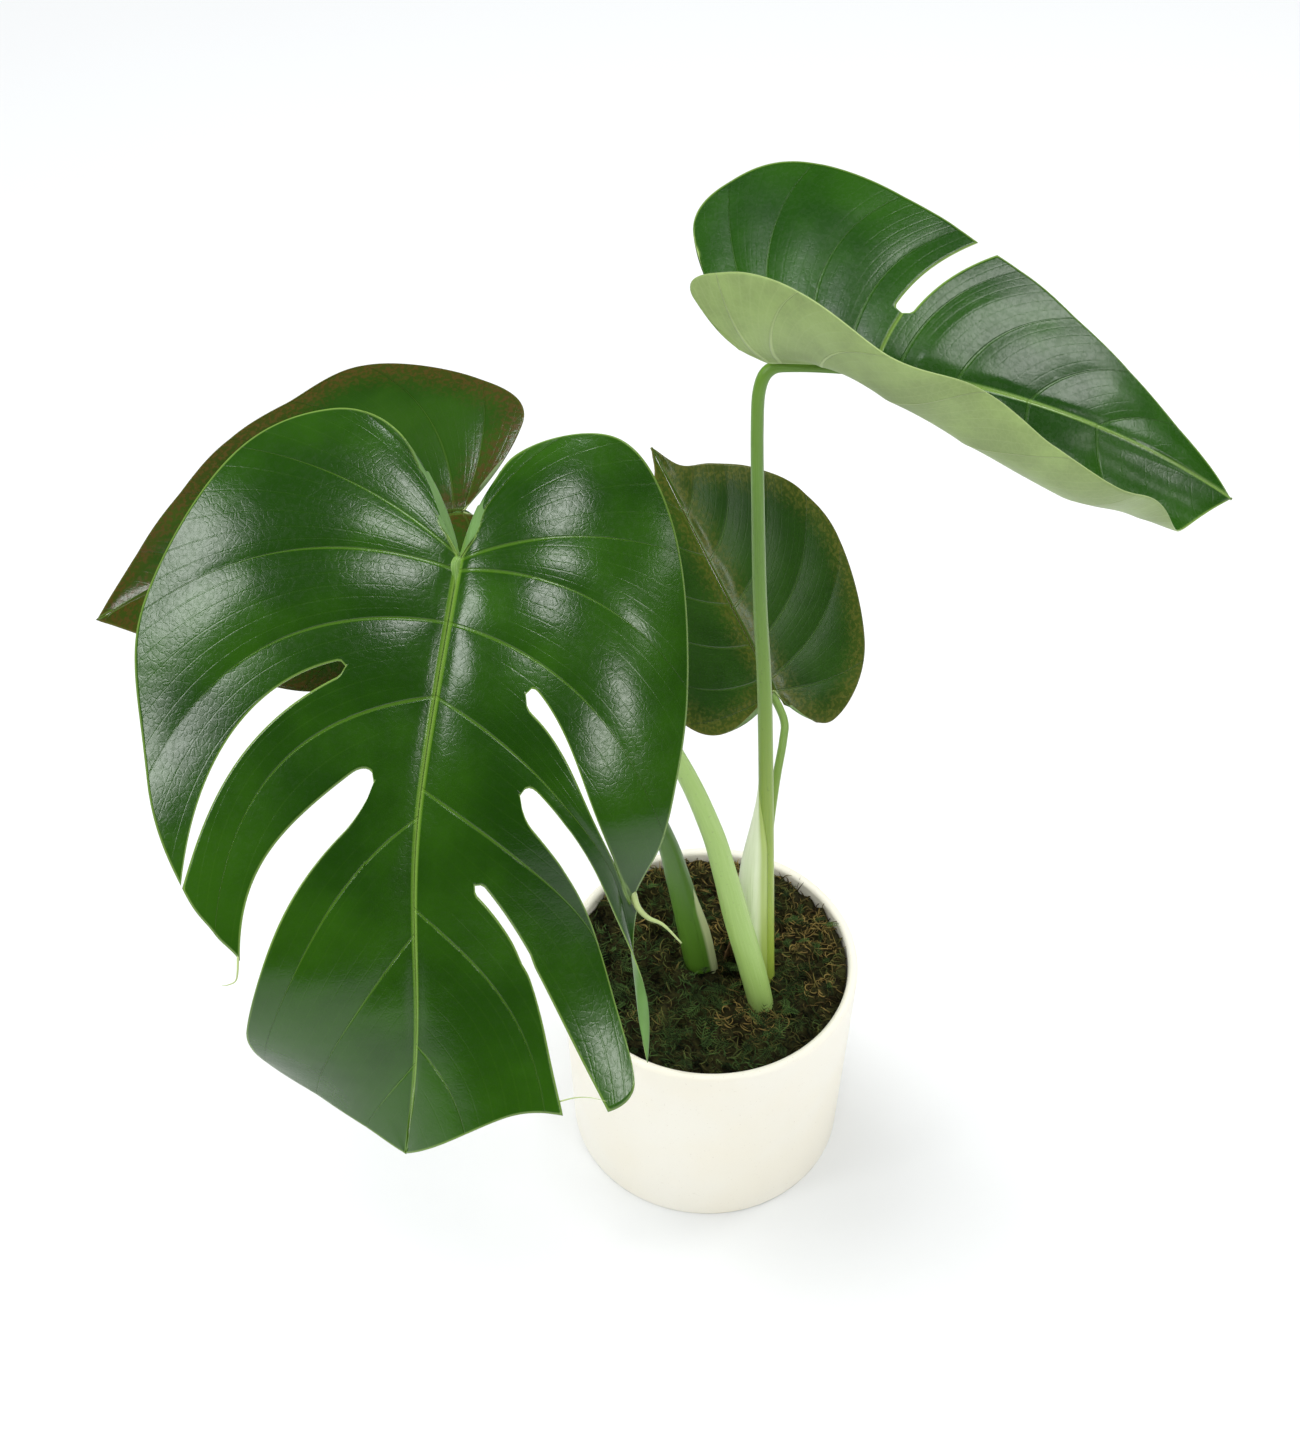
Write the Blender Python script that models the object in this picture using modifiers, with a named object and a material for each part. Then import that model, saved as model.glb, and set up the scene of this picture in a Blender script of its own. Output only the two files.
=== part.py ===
"""Young split-leaf monstera growing in a straight, plain ceramic pot.

The origin is the middle of the pot's flat underside, +Z is up and lengths are metres.
Sizes are written in millimetres and turned into metres by MM.

A leaf is drawn flat first: x runs across the blade, y along the midrib from the
petiole to the tip. Ribs, like the real side veins, run from stations on the midrib
out to the margin, and slits open between some of them. The flat blade is then bent into
its place by the heading, pitch and roll of its midrib and by the curl of each half.
"""
import math
from collections import namedtuple

import bmesh
import bpy
import numpy as np
from mathutils import Vector

MM = 0.001
CLEARANCE = 0.4 * MM
PASSAGE_GAP = 0.6 * MM
MERGE_DISTANCE = 0.02 * MM

# Pot
POT_HEIGHT = 126 * MM
POT_RIM_RADIUS = 75 * MM
POT_BASE_RADIUS = 71.5 * MM
POT_WALL = 5 * MM
POT_FLOOR = 6 * MM
POT_FOOT_BEVEL = 1.5 * MM
POT_INNER_CHAMFER = 3 * MM
POT_SEGMENTS = 64
RIM_STEPS = 6

# Soil and moss: the soil stops below the rim, and the moss lies on it
SOIL_BELOW_RIM = 21 * MM
MOSS_EDGE_THICKNESS = 12.5 * MM
MOSS_CROWN_THICKNESS = 14.5 * MM
MOSS_DOME_RINGS = (0, 0.35, 0.6, 0.8, 0.93)
STEM_DEPTH = 43 * MM
STEM_SEGMENTS = 20
POCKET_ABOVE_SOIL = 5 * MM
PASSAGE_BELOW_FOOT = 3 * MM
PASSAGE_ABOVE_MOSS = 30 * MM

SOIL_TOP = POT_HEIGHT - SOIL_BELOW_RIM
MOSS_EDGE_HEIGHT = SOIL_TOP + MOSS_EDGE_THICKNESS
MOSS_CROWN_HEIGHT = SOIL_TOP + MOSS_CROWN_THICKNESS

# Leaf blades and sheaths
BLADE_THICKNESS = 0.9 * MM
SHEATH_THICKNESS = 0.9 * MM
COLUMNS_PER_STATION = 3
ROWS_TO_MARGIN = 9
PETIOLE_TOP_GAP = 0.3 * MM
PETIOLE_POINTS = 22
SHEATH_ROWS = 11
SHEATH_COLUMNS = 8
SHEATH_LOW_BULGE = 0.7
STATION_STEP = 0.02
# shares of the midrib's length over which its line, and its bends, are worked out
SPINE_SPAN = (-0.6, 1.1)
SPINE_POINTS = 341
COURSE_SPAN = (-0.35, 1.1)

# place on the soil (x, y) and radius of each short stem
STEMS = {
    "main_stem": ((28, -10), 15),
    "side_stem": ((-3, 3), 9),
}

# route: points from the foot of the stalk to the leaf, with heights above the soil;
# radii: at the points of the route
Petiole = namedtuple("Petiole", "route radii colour")
PETIOLES = {
    "petiole_upper": Petiole(
        [(29, -9, 1.2), (28.2, -9, 20), (27, -9, 47), (24.6, -8, 112), (20.2, -5, 206),
         (16, -1, 262), (13.4, 3, 312), (12, 6, 345), (12.4, 8.2, 363)],
        [4.3, 4.2, 4.1, 3.6, 3.3, 3.0, 2.7, 2.6, 2.6], (0.26, 0.42, 0.10)),
    "petiole_front": Petiole(
        [(26, -25, 1.2), (24.9, -25, 17), (18.6, -25, 49), (11.2, -25, 82), (4.4, -26, 116),
         (-2.8, -27, 148), (-18, -30, 195), (-48, -37, 265), (-78, -46, 310)],
        [5.8, 6.2, 6.5, 6.3, 5.6, 5.0, 4.2, 3.4, 3.0], (0.24, 0.42, 0.09)),
    "petiole_back": Petiole(
        [(-3.2, 2, 1.2), (-5.2, 2, 15), (-9.4, 2, 42), (-16.4, 3, 78), (-25, 5, 112),
         (-53, 12, 183), (-85, 20, 250), (-101, 24, 275)],
        [7.0, 7.4, 7.2, 6.0, 4.6, 3.4, 2.8, 2.6], (0.10, 0.22, 0.04)),
    "petiole_small": Petiole(
        [(28.6, 1, 1.2), (28.5, 3, 22), (27.6, 6, 51), (27.4, 13, 73), (28.2, 24, 90),
         (31.3, 38, 111), (34.6, 50, 126), (35, 58, 133)],
        [2.4, 2.4, 2.3, 2.3, 2.2, 2.1, 2.0, 2.0], (0.22, 0.38, 0.09)),
}

# a sheath wraps part of its petiole: span is in heights above the soil, arc in degrees
# from +X towards +Y, and it stands off by reach where it is widest
Sheath = namedtuple("Sheath", "petiole span arc reach")
SHEATHS = {
    "sheath_upper": Sheath("petiole_upper", (17, 157), (240, 180), 8.0),
    "sheath_back": Sheath("petiole_back", (17, 81), (-95, 30), 1.2),
}
DRY_SHEATH_PLACE = (13, 3)
DRY_SHEATH_RADIUS = 5.0
DRY_SHEATH_HEIGHT = 16
DRY_SHEATH_ARC = (-60, 170)
DRY_SHEATH_PINCH = 0.55

# A half is (ribs, slits, twists). A rib is (reach across, reach along, bow as a share of
# its length) and starts at the station of the same number. A slit is (station, share of the
# rib where it starts, how many stations it strays from the rib, width), with stray and width
# at its round end, half way and at the margin. A twist is (first station of a finger,
# degrees, share of the rib from which it turns).
Half = namedtuple("Half", "ribs slits twists", defaults=([],))
# origin: place of the leaf's base, with its height above the soil
# fold: degrees each half rises from the midrib; curl: degrees it turns in 100 mm
Leaf = namedtuple("Leaf", "origin length heading pitch roll fold curl stations right left petiole")
LEAVES = {
    "leaf_front": Leaf(
        origin=(-101.5, -60, 335), length=240,
        heading=(-102, -103, -91, -126), pitch=(-38, -55, -76), roll=(4, 4),
        fold=((14, 10), (14, 4)), curl=((-22, -14), (-56, -36)),
        stations=(0, 0, 0, 0, 5, 25, 37, 53, 71, 88, 104, 155, 244),
        right=Half([(10, -12, 0), (30, -42, .12), (58, -47, .22), (92, -23, .14),
                    (117, 40, .24), (103, 96, .33), (85, 128, .36), (74, 141, .34),
                    (63, 157, .24), (65, 198, .22), (56, 220, .20), (35, 233, .14),
                    (0, 244, 0)],
                   [(6, .26, (-.08, -.03, -.08), (5, 10, 1)),
                    (8, .185, (.25, .20, .25), (20, 29, 44))]),
        left=Half([(5, -9, 0), (14, -41, .10), (52, -55, .20), (79, -27, .12),
                   (97, 34, .24), (96, 98, .30), (86, 140, .26), (92, 166, .33),
                   (85, 187, .36), (86, 203, .28), (70, 209, .10), (39, 212, .15),
                   (0, 244, 0)],
                  [(6, .27, (-.45, 0, -.05), (9, 2.5, .5)),
                   (8, .26, (-.25, .42, .60), (14, 20, 6)),
                   (10, .25, (-.20, .07, .02), (5, 5, 17))],
                  [(6, -50, .45)]),
        petiole="petiole_front"),
    "leaf_upper": Leaf(
        origin=(16.5, 10, 375), length=198,
        heading=(-2, -3, -6, -8), pitch=(2, -12, -22, -34), roll=(0, 0),
        fold=((42, 2, -34, -50, -56, -72, -60), (24, 22)),
        curl=((100, 115, 182, 180, 190, 300, 315), (-8, -16)),
        stations=(0, 0, 0, 4, 22, 40, 55, 90, 132, 198),
        right=Half([(10, -12, 0), (34, -27, .15), (46, -14, .12), (56, 8, .22),
                    (66, 36, .30), (73, 64, .30), (77, 94, .30), (74, 128, .25),
                    (46, 165, .15), (0, 198, 0)], []),
        left=Half([(12, -12, 0), (62, -28, .20), (88, -12, .12), (98, 16, .22),
                   (80, 60, .26), (67, 80, .15), (55, 103, .20), (36, 132, .20),
                   (17, 166, .15), (0, 198, 0)],
                  [(5, .34, (0, 0, 0), (7, 8, 9))]),
        petiole="petiole_upper"),
    "leaf_back": Leaf(
        origin=(-109, 26, 288.5), length=166,
        heading=(184, 188, 194), pitch=(-4, -14, -26), roll=(16, 16),
        fold=((10, 8), (10, 8)), curl=((-20, -20), (-20, -20)),
        stations=(0, 0, 0, 4, 25, 52, 84, 122, 166),
        right=Half([(8, -8, 0), (45, -27, .15), (67, -8, .12), (84, 36, .22),
                    (71, 70, .26), (56, 98, .26), (36, 121, .22), (16, 144, .12),
                    (0, 166, 0)], []),
        left=Half([(8, -8, 0), (38, -25, .15), (66, -4, .12), (79, 32, .22),
                   (76, 74, .26), (60, 105, .26), (38, 129, .22), (17, 150, .12),
                   (0, 166, 0)], []),
        petiole="petiole_back"),
    "leaf_small": Leaf(
        origin=(30.5, 66, 145), length=132,
        heading=(135, 135), pitch=(50, 50), roll=(0, 0),
        fold=((12, 8), (12, 8)), curl=((-15, -15), (-15, -15)),
        stations=(0, 0, 0, 6, 25, 50, 80, 105, 132),
        right=Half([(1, -9, 0), (20, -29, .20), (54, -9, .12), (72, 44, .22),
                    (65, 76, .22), (46, 98, .22), (25, 111, .22), (9, 118, .12),
                    (0, 132, 0)], []),
        left=Half([(8, 0, 0), (42, -1, .15), (60, 14, .12), (66, 44, .22),
                   (58, 76, .22), (42, 98, .22), (22, 112, .22), (8, 119, .12),
                   (0, 132, 0)], []),
        petiole="petiole_small"),
}

COLOURS = {
    "pot": ((0.86, 0.82, 0.76), 0.38),
    "potting_soil": ((0.05, 0.03, 0.02), 0.95),
    "moss_layer": ((0.09, 0.08, 0.03), 0.95),
    "main_stem": ((0.20, 0.24, 0.08), 0.7),
    "side_stem": ((0.20, 0.24, 0.08), 0.7),
    "sheath_upper": ((0.55, 0.66, 0.36), 0.5),
    "sheath_back": ((0.42, 0.52, 0.22), 0.5),
    "dry_sheath": ((0.20, 0.12, 0.05), 0.8),
    "leaf_front": ((0.05, 0.18, 0.015), 0.28),
    "leaf_upper": ((0.05, 0.16, 0.02), 0.35),
    "leaf_back": ((0.03, 0.07, 0.01), 0.28),
    "leaf_small": ((0.05, 0.10, 0.01), 0.35),
}


def clear_scene():
    for thing in list(bpy.data.objects):
        bpy.data.objects.remove(thing, do_unlink=True)


def make_collection(name):
    collection = bpy.data.collections.new(name)
    bpy.context.scene.collection.children.link(collection)
    return collection


def make_material(name, colour, roughness):
    material = bpy.data.materials.new(name)
    material.use_nodes = True
    shader = material.node_tree.nodes["Principled BSDF"]
    shader.inputs["Base Color"].default_value = (*colour, 1)
    shader.inputs["Roughness"].default_value = roughness
    shader.inputs["Metallic"].default_value = 0
    return material


def add_object(name, mesh, collection, colour=None, roughness=0.5):
    thing = bpy.data.objects.new(name, mesh)
    collection.objects.link(thing)
    if colour:
        mesh.materials.append(make_material(name, colour, roughness))
    return thing


def smooth_spline(values, where):
    """Smooth curve through the values, which sit at 0, 1, 2 ...; where may be an array."""
    values = np.asarray(values, float)
    where = np.asarray(where, float)
    last = len(values) - 1
    slopes = np.gradient(values, axis=0)
    index = np.clip(np.floor(where).astype(int), 0, last - 1)
    part = where - index
    if values.ndim > 1:
        part = part[..., None]
    start = (1 + 2 * part) * (1 - part) ** 2
    start_slope = part * (1 - part) ** 2
    end = part ** 2 * (3 - 2 * part)
    end_slope = part ** 2 * (part - 1)
    return (start * values[index] + start_slope * slopes[index]
            + end * values[index + 1] + end_slope * slopes[index + 1])


def above_soil(point):
    """Place above the pot's underside, in millimetres, of a point given above the soil."""
    return np.asarray(point, float) + (0, 0, SOIL_TOP / MM)


def unit(vectors):
    return vectors / np.linalg.norm(vectors, axis=-1, keepdims=True)


class Blade:
    """One leaf blade: flat shape, and the same shape bent into place."""

    def __init__(self, leaf):
        self.leaf = leaf
        self.length = leaf.length
        self.along = np.linspace(*SPINE_SPAN, SPINE_POINTS)
        tangents = self.frame(self.along * self.length)[0]
        step = (self.along[1] - self.along[0]) * self.length
        spine = np.zeros_like(tangents)
        spine[1:] = np.cumsum((tangents[1:] + tangents[:-1]) / 2 * step, axis=0)
        at_base = [np.interp(0, self.along, spine[:, axis]) for axis in range(3)]
        self.spine = spine - at_base + above_soil(leaf.origin)

    def course(self, values, y):
        """Value at y of a number given at even steps from the leaf's base to its tip."""
        share = np.clip(np.asarray(y) / self.length, *COURSE_SPAN)
        steps = len(values) - 1
        inside = smooth_spline(values, np.clip(share, 0, 1) * steps)
        return inside + np.minimum(share, 0) * steps * (values[1] - values[0])

    def frame(self, y):
        """Along, across and up directions of the midrib at y."""
        heading = np.radians(self.course(self.leaf.heading, y))
        pitch = np.radians(self.course(self.leaf.pitch, y))
        roll = np.radians(self.course(self.leaf.roll, y))[..., None]
        along = np.stack([np.cos(pitch) * np.cos(heading),
                          np.cos(pitch) * np.sin(heading), np.sin(pitch)], -1)
        up = np.stack([-np.sin(pitch) * np.cos(heading),
                       -np.sin(pitch) * np.sin(heading), np.cos(pitch)], -1)
        across = np.cross(along, up)
        return (along, across * np.cos(roll) + up * np.sin(roll),
                up * np.cos(roll) - across * np.sin(roll))

    def flat(self, half, share, station):
        """Flat place of the point at a share of the rib that starts at a station."""
        ribs = getattr(self.leaf, half).ribs
        start = np.interp(station, range(len(ribs)), self.leaf.stations)
        reach = smooth_spline(ribs, station)
        over, along, bow = reach[..., 0], reach[..., 1], reach[..., 2]
        rise = along - start
        middle_x = over / 2 + bow * rise
        middle_y = start + rise / 2 - bow * over
        x = 2 * share * (1 - share) * middle_x + share ** 2 * over
        y = ((1 - share) ** 2 * start + 2 * share * (1 - share) * middle_y
             + share ** 2 * along)
        return x, y

    def bent(self, half, x, y):
        """Place in space, in millimetres, of a flat point x away from the midrib."""
        sign, which = (1, 0) if half == "right" else (-1, 1)
        fold = np.radians(self.course(self.leaf.fold[which], y))
        turn = np.radians(self.course(self.leaf.curl[which], y)) / 100
        turn = np.where(np.abs(turn) < 1e-6, 1e-6, turn)
        outward = (np.sin(fold + turn * x) - np.sin(fold)) / turn
        upward = (np.cos(fold) - np.cos(fold + turn * x)) / turn
        centre = np.stack([np.interp(y / self.length, self.along, self.spine[:, axis])
                           for axis in range(3)], -1)
        _, across, up = self.frame(y)
        return centre + sign * outward[..., None] * across + upward[..., None] * up

    def slit_middle(self, slit, share):
        """Station of the slit's middle line at a share of its rib."""
        station, start, drift, _ = slit
        course = np.polyfit((0, start, (start + 1) / 2, 1), (0, *drift), 3)
        return station + np.polyval(course, share)

    def slit_half_width(self, half, slit, share):
        """Half the slit's opening, in stations, at a share of its rib."""
        station, start, _, widths = slit
        course = np.polyfit((start, (start + 1) / 2, 1), widths, 2)
        rib = getattr(self.leaf, half).ribs[station]
        length = math.hypot(rib[0], rib[1] - self.leaf.stations[station])
        into = np.clip((share - start) * length / (widths[0] / 2), 0, 1)
        opening = np.polyval(course, share) * np.sqrt(1 - (1 - into) ** 2)
        middle = self.slit_middle(slit, share)
        here = self.flat(half, share, middle + STATION_STEP)
        there = self.flat(half, share, middle - STATION_STEP)
        spacing = np.hypot(here[0] - there[0], here[1] - there[1]) / (2 * STATION_STEP)
        return np.where(share > start, opening / 2 / spacing, 0)

    def turned(self, half, places, share, middle, degrees, turn_from):
        """Places of a finger turned about its own middle line, more towards its tip."""
        def core(at):
            return self.bent(half, *self.flat(half, at, np.full_like(at, middle)))

        axis = unit(core(share + STATION_STEP) - core(share - STATION_STEP))
        offset = places - core(share)
        turn = np.clip((share - turn_from) / (1 - turn_from), 0, 1)
        angle = np.radians(degrees) * (turn * turn * (3 - 2 * turn))[:, None]
        return core(share) + (offset * np.cos(angle) + np.cross(axis, offset) * np.sin(angle)
                              + axis * (axis * offset).sum(-1, keepdims=True)
                              * (1 - np.cos(angle)))

    def strips(self, half):
        """Spans between slits: (station, station, slit or None, slit or None)."""
        slits = [None, *getattr(self.leaf, half).slits, None]
        last = len(self.leaf.stations) - 1
        for low, high in zip(slits[:-1], slits[1:]):
            yield low[0] if low else 0, high[0] if high else last, low, high


def blade_strip(bm, blade, half, first, last, low, high):
    """One strip of a half blade, from the midrib to the margin."""
    columns = (last - first) * COLUMNS_PER_STATION
    made = bmesh.ops.create_grid(bm, x_segments=ROWS_TO_MARGIN, y_segments=columns, size=1)
    verts = made["verts"]
    share = np.array([(vert.co.x + 1) / 2 for vert in verts])
    across = np.array([(vert.co.y + 1) / 2 for vert in verts])
    start, end = np.full_like(share, first), np.full_like(share, last)
    if low:
        start = blade.slit_middle(low, share) + blade.slit_half_width(half, low, share)
    if high:
        end = blade.slit_middle(high, share) - blade.slit_half_width(half, high, share)
    x, y = blade.flat(half, share, start + (end - start) * across)
    places = blade.bent(half, x, y)
    for finger, degrees, turn_from in getattr(blade.leaf, half).twists:
        if finger == first:
            places = blade.turned(half, places, share, (first + last) / 2, degrees, turn_from)
    for vert, place in zip(verts, places * MM):
        vert.co = place
    if half == "left":
        faces = list({face for vert in verts for face in vert.link_faces})
        bmesh.ops.reverse_faces(bm, faces=faces)


def add_leaf(name, leaf, collection):
    blade = Blade(leaf)
    bm = bmesh.new()
    for half in ("right", "left"):
        for first, last, low, high in blade.strips(half):
            blade_strip(bm, blade, half, first, last, low, high)
    bmesh.ops.remove_doubles(bm, verts=bm.verts, dist=MERGE_DISTANCE)
    mesh = bpy.data.meshes.new(name)
    bm.to_mesh(mesh)
    bm.free()
    mesh.shade_smooth()
    thing = add_object(name, mesh, collection, *COLOURS[name])
    shell = thing.modifiers.new("thickness", "SOLIDIFY")
    shell.thickness = BLADE_THICKNESS
    shell.offset = 0
    return thing


def petiole_course(petiole):
    """Evenly spread points from the soil to the leaf, and the radius at each."""
    leaf = next(leaf for leaf in LEAVES.values() if PETIOLES[leaf.petiole] is petiole)
    _, _, up = Blade(leaf).frame(np.array(0.0))
    below = petiole.radii[-1] + (BLADE_THICKNESS / 2 + PETIOLE_TOP_GAP) / MM
    route = above_soil([*petiole.route, np.array(leaf.origin) - up * below])
    radii = [*petiole.radii, petiole.radii[-1]]
    where = np.linspace(0, len(route) - 1, PETIOLE_POINTS)
    return smooth_spline(route, where) * MM, smooth_spline(radii, where) * MM


def add_tube(name, points, radii, collection, colour=None, roughness=0.5):
    """Tube with closed ends along the points, made a mesh so that it can cut others."""
    curve = bpy.data.curves.new(name, "CURVE")
    curve.dimensions = "3D"
    curve.bevel_depth = 1
    curve.bevel_resolution = 2
    curve.use_fill_caps = True
    spline = curve.splines.new("POLY")
    spline.points.add(len(points) - 1)
    for point, place, radius in zip(spline.points, points, radii):
        point.co = (*place, 1)
        point.radius = radius
    tube = bpy.data.objects.new(name + "_curve", curve)
    collection.objects.link(tube)
    depsgraph = bpy.context.evaluated_depsgraph_get()
    mesh = bpy.data.meshes.new_from_object(tube.evaluated_get(depsgraph))
    bpy.data.objects.remove(tube, do_unlink=True)
    bm = bmesh.new()
    bm.from_mesh(mesh)
    bmesh.ops.remove_doubles(bm, verts=bm.verts, dist=MERGE_DISTANCE)
    bmesh.ops.recalc_face_normals(bm, faces=bm.faces)
    bm.to_mesh(mesh)
    bm.free()
    mesh.name = name
    mesh.materials.clear()
    mesh.shade_smooth()
    return add_object(name, mesh, collection, colour, roughness)


def add_turned(name, profile, collection, segments=POT_SEGMENTS):
    """Turned solid: the profile runs down its outer side, from top to bottom."""
    mesh = bpy.data.meshes.new(name)
    edges = [(index, index + 1) for index in range(len(profile) - 1)]
    mesh.from_pydata([(radius, 0, height) for radius, height in profile], edges, [])
    thing = add_object(name, mesh, collection, *COLOURS.get(name, ()))
    screw = thing.modifiers.new("turn", "SCREW")
    screw.steps = segments
    screw.render_steps = segments
    screw.use_merge_vertices = True
    screw.merge_threshold = 0.0001
    screw.use_smooth_shade = False
    return thing


def pot_outer_radius(height):
    return POT_BASE_RADIUS + (POT_RIM_RADIUS - POT_BASE_RADIUS) * height / POT_HEIGHT


def pot_inner_radius(height):
    return pot_outer_radius(height) - POT_WALL


def add_pot(collection):
    lip = POT_WALL / 2
    rim_centre = POT_RIM_RADIUS - lip
    chamfer_top = POT_FLOOR + POT_INNER_CHAMFER
    over_rim = [(rim_centre - lip * math.cos(angle), POT_HEIGHT - lip + lip * math.sin(angle))
                for angle in np.linspace(0, math.pi, RIM_STEPS + 1)]
    profile = [
        (0, POT_FLOOR),
        (pot_inner_radius(POT_FLOOR) - POT_INNER_CHAMFER, POT_FLOOR),
        (pot_inner_radius(chamfer_top), chamfer_top),
        *over_rim,
        (POT_BASE_RADIUS, POT_FOOT_BEVEL),
        (POT_BASE_RADIUS - POT_FOOT_BEVEL, 0),
        (0, 0),
    ]
    return add_turned("pot", profile, collection)


def add_soil(collection):
    chamfer_top = POT_FLOOR + POT_INNER_CHAMFER
    profile = [
        (0, SOIL_TOP),
        (pot_inner_radius(SOIL_TOP) - CLEARANCE, SOIL_TOP),
        (pot_inner_radius(chamfer_top) - CLEARANCE, chamfer_top + CLEARANCE),
        (pot_inner_radius(POT_FLOOR) - POT_INNER_CHAMFER - CLEARANCE, POT_FLOOR + CLEARANCE),
        (0, POT_FLOOR + CLEARANCE),
    ]
    return add_turned("potting_soil", profile, collection)


def add_moss(collection):
    edge = pot_inner_radius(SOIL_TOP) - CLEARANCE
    rise = MOSS_CROWN_HEIGHT - MOSS_EDGE_HEIGHT
    dome = [(edge * share, MOSS_CROWN_HEIGHT - rise * share ** 2)
            for share in MOSS_DOME_RINGS]
    profile = [
        *dome,
        (edge, MOSS_EDGE_HEIGHT - rise / 2),
        (edge, SOIL_TOP + CLEARANCE),
        (0, SOIL_TOP + CLEARANCE),
    ]
    return add_turned("moss_layer", profile, collection)


def cut(thing, cutters):
    for cutter in cutters:
        cutter.hide_render = True
        cutter.display_type = "WIRE"
        hole = thing.modifiers.new("hole_" + cutter.name, "BOOLEAN")
        hole.operation = "DIFFERENCE"
        hole.solver = "EXACT"
        hole.object = cutter


def add_stems(collection, cutter_collection):
    """Short upright stems in the soil, and the cutters for their pockets."""
    cutters = []
    for name, ((x, y), radius) in STEMS.items():
        for purpose, grow, top in (("", 0, 0), ("_pocket", CLEARANCE, POCKET_ABOVE_SOIL)):
            depth = STEM_DEPTH + grow + top
            bm = bmesh.new()
            bmesh.ops.create_cone(bm, cap_ends=True, segments=STEM_SEGMENTS, depth=depth,
                                  radius1=radius * MM + grow, radius2=radius * MM + grow)
            centre = Vector((x * MM, y * MM, SOIL_TOP + top - depth / 2))
            bmesh.ops.translate(bm, verts=bm.verts, vec=centre)
            mesh = bpy.data.meshes.new(name + purpose)
            bm.to_mesh(mesh)
            bm.free()
            if purpose:
                cutters.append(add_object(name + purpose, mesh, cutter_collection))
            else:
                add_object(name, mesh, collection, *COLOURS[name])
    return cutters


def wrap_shell(name, places, radius_at, arc, collection):
    """Shell around an upright course of places: radius_at(share up, share round)."""
    bm = bmesh.new()
    rows = len(places) - 1
    bmesh.ops.create_grid(bm, x_segments=SHEATH_COLUMNS, y_segments=rows, size=1)
    for vert in bm.verts:
        round_share = (vert.co.x + 1) / 2
        up_share = (vert.co.y + 1) / 2
        centre = places[round(up_share * rows)]
        angle = math.radians(arc[0] + (arc[1] - arc[0]) * round_share)
        radius = float(radius_at(up_share, round_share))
        vert.co = Vector(centre) + radius * Vector((math.cos(angle), math.sin(angle), 0))
    mesh = bpy.data.meshes.new(name)
    bm.to_mesh(mesh)
    bm.free()
    mesh.shade_smooth()
    thing = add_object(name, mesh, collection, *COLOURS[name])
    shell = thing.modifiers.new("thickness", "SOLIDIFY")
    shell.thickness = SHEATH_THICKNESS
    shell.offset = 0
    return thing


def add_sheath(name, sheath, collection):
    """Pale wing along one side of a petiole, widest in its lower third."""
    petiole = PETIOLES[sheath.petiole]
    points, radii = petiole_course(petiole)
    heights = SOIL_TOP + np.linspace(*sheath.span, SHEATH_ROWS + 1) * MM
    places = np.stack([np.interp(heights, points[:, 2], points[:, axis])
                       for axis in range(3)], -1)
    around = np.interp(heights, points[:, 2], radii)

    def radius_at(up_share, round_share):
        close = around[round(up_share * SHEATH_ROWS)] + SHEATH_THICKNESS + PASSAGE_GAP
        spread = sheath.reach * MM * math.sin(math.pi * up_share ** SHEATH_LOW_BULGE)
        return close + spread * round_share ** 2

    return wrap_shell(name, places, radius_at, sheath.arc, collection)


def add_dry_sheath(collection):
    """Dried bract beside the stems, open on one side and pinched at the top."""
    x, y = DRY_SHEATH_PLACE
    foot = MOSS_CROWN_HEIGHT + CLEARANCE + SHEATH_THICKNESS
    heights = np.linspace(foot, foot + DRY_SHEATH_HEIGHT * MM, SHEATH_ROWS + 1)
    places = [(x * MM, y * MM, height) for height in heights]

    def radius_at(up_share, round_share):
        return DRY_SHEATH_RADIUS * MM * (1 - DRY_SHEATH_PINCH * up_share ** 2)

    return wrap_shell("dry_sheath", places, radius_at, DRY_SHEATH_ARC, collection)


def main():
    clear_scene()
    plant = make_collection("potted_monstera")
    cutters = make_collection("cutters")
    add_pot(plant)
    soil = add_soil(plant)
    moss = add_moss(plant)
    cut(soil, add_stems(plant, cutters))

    passages = []
    for name, petiole in PETIOLES.items():
        points, radii = petiole_course(petiole)
        add_tube(name, points, radii, plant, petiole.colour, 0.45)
        through = points[:, 2] < MOSS_CROWN_HEIGHT + PASSAGE_ABOVE_MOSS
        below = np.concatenate([[points[0] - (0, 0, PASSAGE_BELOW_FOOT)], points[through]])
        wider = np.concatenate([[radii[0]], radii[through]]) + PASSAGE_GAP
        passages.append(add_tube(name + "_passage", below, wider, cutters))
    cut(moss, passages)

    for name, leaf in LEAVES.items():
        add_leaf(name, leaf, plant)
    for name, sheath in SHEATHS.items():
        add_sheath(name, sheath, plant)
    add_dry_sheath(plant)


main()
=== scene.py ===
"""Finished model of a young split-leaf monstera in a straight, plain ceramic pot.

Lengths in the tables below are millimetres; MM turns them into metres. A leaf is drawn
flat, with x across the blade and y along the midrib from the petiole to the tip, and is
then bent into place by the heading, pitch and roll of its midrib and the curl of each
half. Ribs run from stations on the midrib out to the margin, as the side veins do.
"""
import math
import random
from collections import namedtuple

import bmesh
import bpy
import numpy as np
from bpy.props import FloatProperty, FloatVectorProperty, IntProperty, PointerProperty
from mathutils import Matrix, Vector, kdtree, noise


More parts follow.
